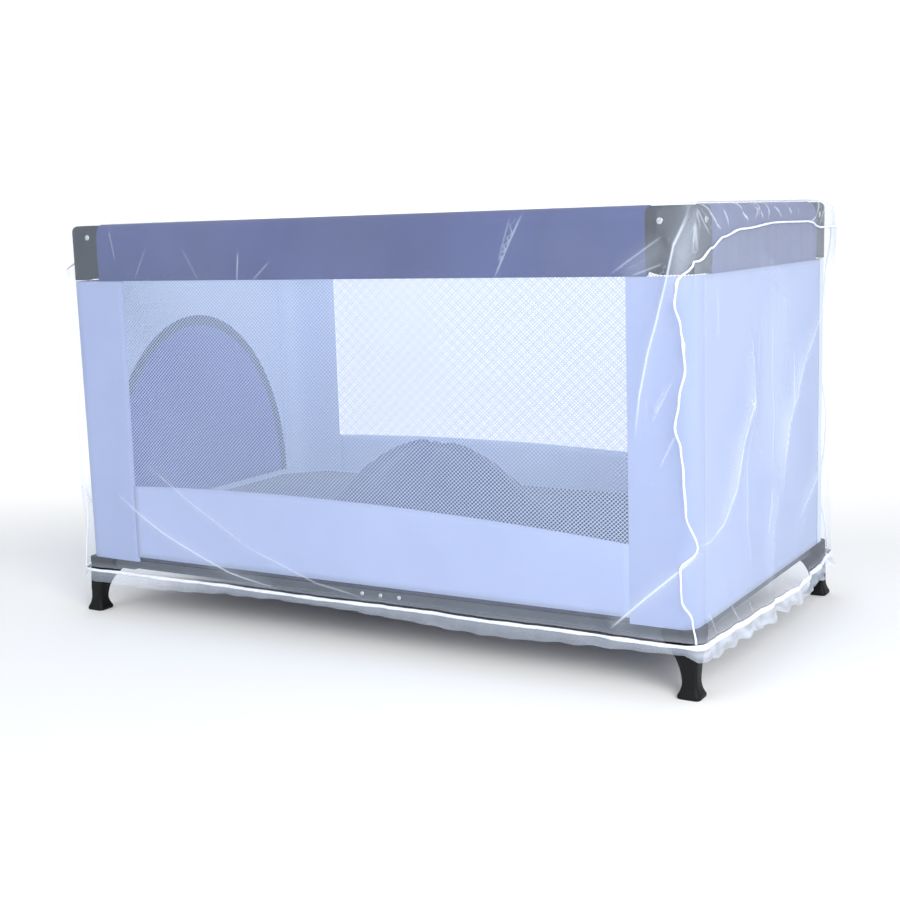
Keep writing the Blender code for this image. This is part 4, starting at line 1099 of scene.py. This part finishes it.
def end_place(column, share, side):
    """A point of an end panel and its cloth values; column runs -1 to 2 round the end."""
    if 0 <= column <= 1:
        y = NET_HALF_WIDTH * (2 * column - 1)
        up = NET_BOTTOM + (eased(ARCH_SEAM, y) - NET_BOTTOM) * share
        at, out, (off, sharp, gathered) = on_net(Vector((side * NET_HALF_LENGTH, y, up)))
        haze = END_HAZE + SEAM_HAZE * min(1.0, max(0.0, (up - HAZE_FROM) / HAZE_RISE))
        return at, (off, sharp, gathered + haze)
    front = column < 0
    seam = seam_point(share - 1 if front else 2 - share, side)
    reach = column + 1 if front else 2 - column
    corner = Vector((side * NET_HALF_LENGTH, -NET_HALF_WIDTH if front else NET_HALF_WIDTH, seam.z))
    at, out, cloth = on_net(seam * (1 - reach) + corner * reach)
    return at, cloth


def net_piece(name, columns, rows, place, stands_for):
    """A net sheet: a grid whose points are put in place and given their three cloth values."""
    bm = grid_of(len(columns) - 1, len(rows) - 1)
    layers = [bm.verts.layers.float.new(word) for word in ("crease_off", "crease_sharp", "gathered")]
    for vert in bm.verts:
        at, values = place(columns[int(vert.co.x)], rows[int(vert.co.y)])
        vert.co = at
        for layer, value in zip(layers, values):
            vert[layer] = value
    bmesh.ops.recalc_face_normals(bm, faces=bm.faces)
    made = show(name, bm, NET, stands_for)
    print(name, len(made.data.polygons), "faces")
    return made


lap = [LAP_START + n / 4 for n in range(1, 4 * LAP_STEPS + 1)]
wrap_columns = [-c for c in reversed(lap)] + even(-LAP_START, LAP_START, COLUMN_STEP) + lap
rise = NET_TOP - NET_BOTTOM
bend = NET_ROUND / (2 * NET_HALF_WIDTH)
skirt = [-1 + s / rise for s in even(0, rise - NET_ROUND, ROW_STEP)] + [-NET_ROUND / rise / 2, 0]
roof = [bend / 2] + [bend + s / 2 / NET_HALF_WIDTH
                     for s in even(0, 2 * (NET_HALF_WIDTH - NET_ROUND), 0.0075)] + [1 - bend / 2]
wrap_rows = skirt + roof + [1 - s for s in reversed(skirt)]
net_piece("net_wrap_sheet", wrap_columns, wrap_rows, wrap_place, ["net_wrap"])

for name, side in (("right", 1), ("left", -1)):
    corner_steps = [n / 5 for n in range(5)]
    across = [(y / NET_HALF_WIDTH + 1) / 2 for y in even(-NET_HALF_WIDTH, NET_HALF_WIDTH, 0.0050)]
    end_columns = [c - 1 for c in corner_steps] + across + [2 - c for c in reversed(corner_steps)]
    net_piece("net_end_sheet_" + name, end_columns, even(0, 1, ROW_STEP / 0.62),
              lambda c, r, side=side: end_place(c, r, side), ["net_end_" + name])

# %% [markdown]
# ## Piped seams
# A narrow white tape binds the seam between the wrap and each end panel. It is a tube along the seam, a little
# uneven in thickness, because the gathered cloth inside it is thicker in some places than in others.

# %% Seams


def along_net(name, places, radius, lift, mat, stands_for, knots=()):
    """A tube along places on the net, its radius varied as gathered tape is and fuller at each knot."""
    curve = bpy.data.curves.new(name, "CURVE")
    curve.dimensions = "3D"
    curve.bevel_depth = radius
    curve.bevel_resolution = 2
    curve.use_fill_caps = True
    spline = curve.splines.new("POLY")
    spline.points.add(len(places) - 1)
    for n, (point, place) in enumerate(zip(spline.points, places)):
        at, out, cloth = on_net(place)
        point.co = (*(at + out * lift), 1)
        knot = sum(exp(-((place - Vector(middle)).length / 0.007) ** 2) for middle in knots)
        point.radius = 1 + 0.30 * noise.noise(Vector((n * 0.45, radius * 900, 0))) + 0.9 * knot
    made = bpy.data.objects.new(name, curve)
    bpy.context.scene.collection.objects.link(made)
    curve.materials.append(mat)
    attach(made, "root")
    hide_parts(*stands_for)
    return made


SEAM_KNOTS = [(0.613, -NET_HALF_WIDTH, 0.541), (0.606, -NET_HALF_WIDTH, 0.632)]
for name, side, radius in (("right", 1, 0.0017), ("left", -1, 0.0012)):
    places = [seam_point(a, side) for a in even(-1, 0, 0.011)[:-1] + even(0, 1, 0.008)
              + even(1, 2, 0.011)[1:]]
    along_net("net_seam_tape_" + name, places, radius, 0.0024, PIPING, ["net_seam_" + name],
              SEAM_KNOTS)

# %% [markdown]
# ## Elastic hem and frill
# The elastic is sewn into a casing all round the bottom, which it gathers into tight ruffles, and the net's
# edge hangs below it as an uneven frill. Both are grids bent round the cot: the hem is closed on itself, and
# the frill is a single sheet.

# %% Hem and frill
HEM_LOW = 0.0785
HEM_HIGH = 0.0865


def ring_places(step):
    """Places round the hem from above, anticlockwise from the front left corner."""
    flat_x, flat_y = NET_HALF_LENGTH - NET_ROUND, NET_HALF_WIDTH - NET_ROUND
    bend = [pi / 2 * n / 4 for n in range(1, 4)]
    places = []
    for n, (cx, cy) in enumerate(((1, -1), (1, 1), (-1, 1), (-1, -1))):
        way = Vector(((1, 0), (0, 1), (-1, 0), (0, -1))[n])
        out = Vector(((0, -1), (1, 0), (0, 1), (-1, 0))[n])
        half_run, off = (flat_x, NET_HALF_WIDTH) if n % 2 == 0 else (flat_y, NET_HALF_LENGTH)
        places += [way * s + out * off for s in even(-half_run, half_run, step)]
        centre = Vector((cx * flat_x, cy * flat_y))
        places += [centre + (out * cos(a) + way * sin(a)) * NET_ROUND for a in bend]
    return [Vector((p.x, p.y, NET_BOTTOM)) for p in places]


def at_right_end(at):
    """1 along the right end, where the elastic bunches the net most, and 0 along the long sides."""
    return min(1.0, max(0.0, (at.x - 0.615) / 0.015))


ring = [on_net(place)[:2] for place in ring_places(0.0030)]
count = len(ring)
bm = grid_of(count, 10)
for vert in bm.verts:
    step = int(vert.co.x) % count
    at, out = ring[step]
    angle = 2 * pi * vert.co.y / 10
    ruffle = 0.0005 * sin(step * 1.9 + 0.7 * sin(step * 0.31)) + 0.0006 * noise.noise(
        Vector((step * 0.8, 0, 5)))
    thick = 0.0016 + 0.0010 * noise.noise(Vector((step * 0.05, 3, 0)))
    across = thick * cos(angle) + 0.0008 + ruffle
    fuller = 0.75 + 0.35 * noise.noise(Vector((step * 0.06, 1, 1))) + 0.55 * at_right_end(at)
    up = (HEM_HIGH - HEM_LOW) / 2 * sin(angle) * fuller
    vert.co = (at.x + out.x * across, at.y + out.y * across, (HEM_HIGH + HEM_LOW) / 2 + up)
bmesh.ops.remove_doubles(bm, verts=bm.verts, dist=0.00005)
bmesh.ops.recalc_face_normals(bm, faces=bm.faces)
hem = show("hem_casing", bm, ELASTIC, ["net_hem"])

bm = grid_of(count, 8)
layers = [bm.verts.layers.float.new(word) for word in ("crease_off", "crease_sharp", "gathered")]
for vert in bm.verts:
    step = int(vert.co.x) % count
    at, out = ring[step]
    down = 1 - vert.co.y / 8
    wave = 0.5 + 0.5 * noise.noise(Vector((step * 0.07, 2, 4))) + 0.15 * sin(step * 0.33)
    long_wave = 0.5 + 0.5 * sin(step * 0.024 + 0.8)
    end = at_right_end(at)
    reach = 0.005 + 0.014 * (0.15 * wave + 0.85 * long_wave) * (1 - end) + 0.020 * end * (0.4 + 0.6 * wave)
    swing = 0.011 * (0.25 + 0.75 * wave) * down
    vert.co = (at.x + out.x * swing, at.y + out.y * swing, HEM_LOW + 0.001 - (reach + 0.001) * down)
    vert[layers[0]] = 0.004 * (1 - down) + 0.0012 * down
    vert[layers[1]] = 0.5 * max(0.0, noise.noise(Vector((step * 0.04, 9, 1))))
    patches = max(0.0, 0.4 + noise.noise(Vector((step * 0.11, down * 2, 6))))
    vert[layers[2]] = 0.55 - 0.3 * down + 0.9 * end * patches
bmesh.ops.remove_doubles(bm, verts=bm.verts, dist=0.00005)
bmesh.ops.recalc_face_normals(bm, faces=bm.faces)
frill = show("net_frill_sheet", bm, NET, ["net_frill"])
print("hem", round(sum((a[0] - b[0]).length for a, b in zip(ring, ring[1:])), 3), "m round")

# %% [markdown]
# ## Floor, backdrop and light
# A pale sweep curves up behind the cot, so no edge shows behind the sheer net. The light is soft and comes
# from all round, with a large panel at the right, as in a bright room by a window, and a third panel that
# lights the sweep. Whites should stay white, as in a bright shop picture, so the picture shows the light as it
# is, without a film-like curve.

# %% Stage and light
mat, tree, shader = new_material("pale_painted_sweep", 0.9)
shader.inputs["Base Color"].default_value = colour("FFFEFA")
bm = grid_of(24, 40)
for vert in bm.verts:
    run = vert.co.y / 40 * 12 - 5
    curl = max(0.0, run - 3.0) / 2.0
    angle = min(curl, pi / 2)
    back = min(run, 3.0) + 2.0 * sin(angle)
    up = 2.0 * (1 - cos(angle)) + max(0.0, curl - pi / 2) * 2.0
    vert.co = ((vert.co.x / 24 - 0.5) * 24, back, up)
bmesh.ops.rotate(bm, verts=bm.verts, cent=(0, 0, 0), matrix=Matrix.Rotation(CAMERA_HEADING, 3, "Z"))
sweep_mesh = bpy.data.meshes.new("sweep")
bm.to_mesh(sweep_mesh)
bm.free()
sweep_mesh.materials.append(mat)
sweep_mesh.shade_smooth()
sweep = bpy.data.objects.new("sweep", sweep_mesh)
bpy.context.scene.collection.objects.link(sweep)

world = bpy.data.worlds.new("soft_room")
world.use_nodes = True
world.node_tree.nodes["Background"].inputs["Color"].default_value = colour("F2F6FF")
world.node_tree.nodes["Background"].inputs["Strength"].default_value = 0.70
bpy.context.scene.world = world
bpy.context.scene.view_settings.view_transform = "Standard"


def soft_panel(name, place, aim, size, power):
    """A large square light that faces a point."""
    light = bpy.data.lights.new(name, "AREA")
    light.size = size
    light.energy = power
    made = bpy.data.objects.new(name, light)
    made.location = place
    made.rotation_mode = "QUATERNION"
    made.rotation_quaternion = (Vector(aim) - Vector(place)).to_track_quat("-Z", "Y")
    bpy.context.scene.collection.objects.link(made)


soft_panel("window_light", place=(2.6, -2.2, 2.0), aim=(0.3, 0, 0.4), size=2.0, power=90)
soft_panel("fill_light", place=(-1.5, -3.2, 2.4), aim=(0, 0, 0.4), size=2.0, power=15)
soft_panel("backdrop_light", place=(-1.2, 1.4, 2.6), aim=(-2.6, 4.6, 0.8), size=3.0, power=70)
print("lights:", len(bpy.data.lights))
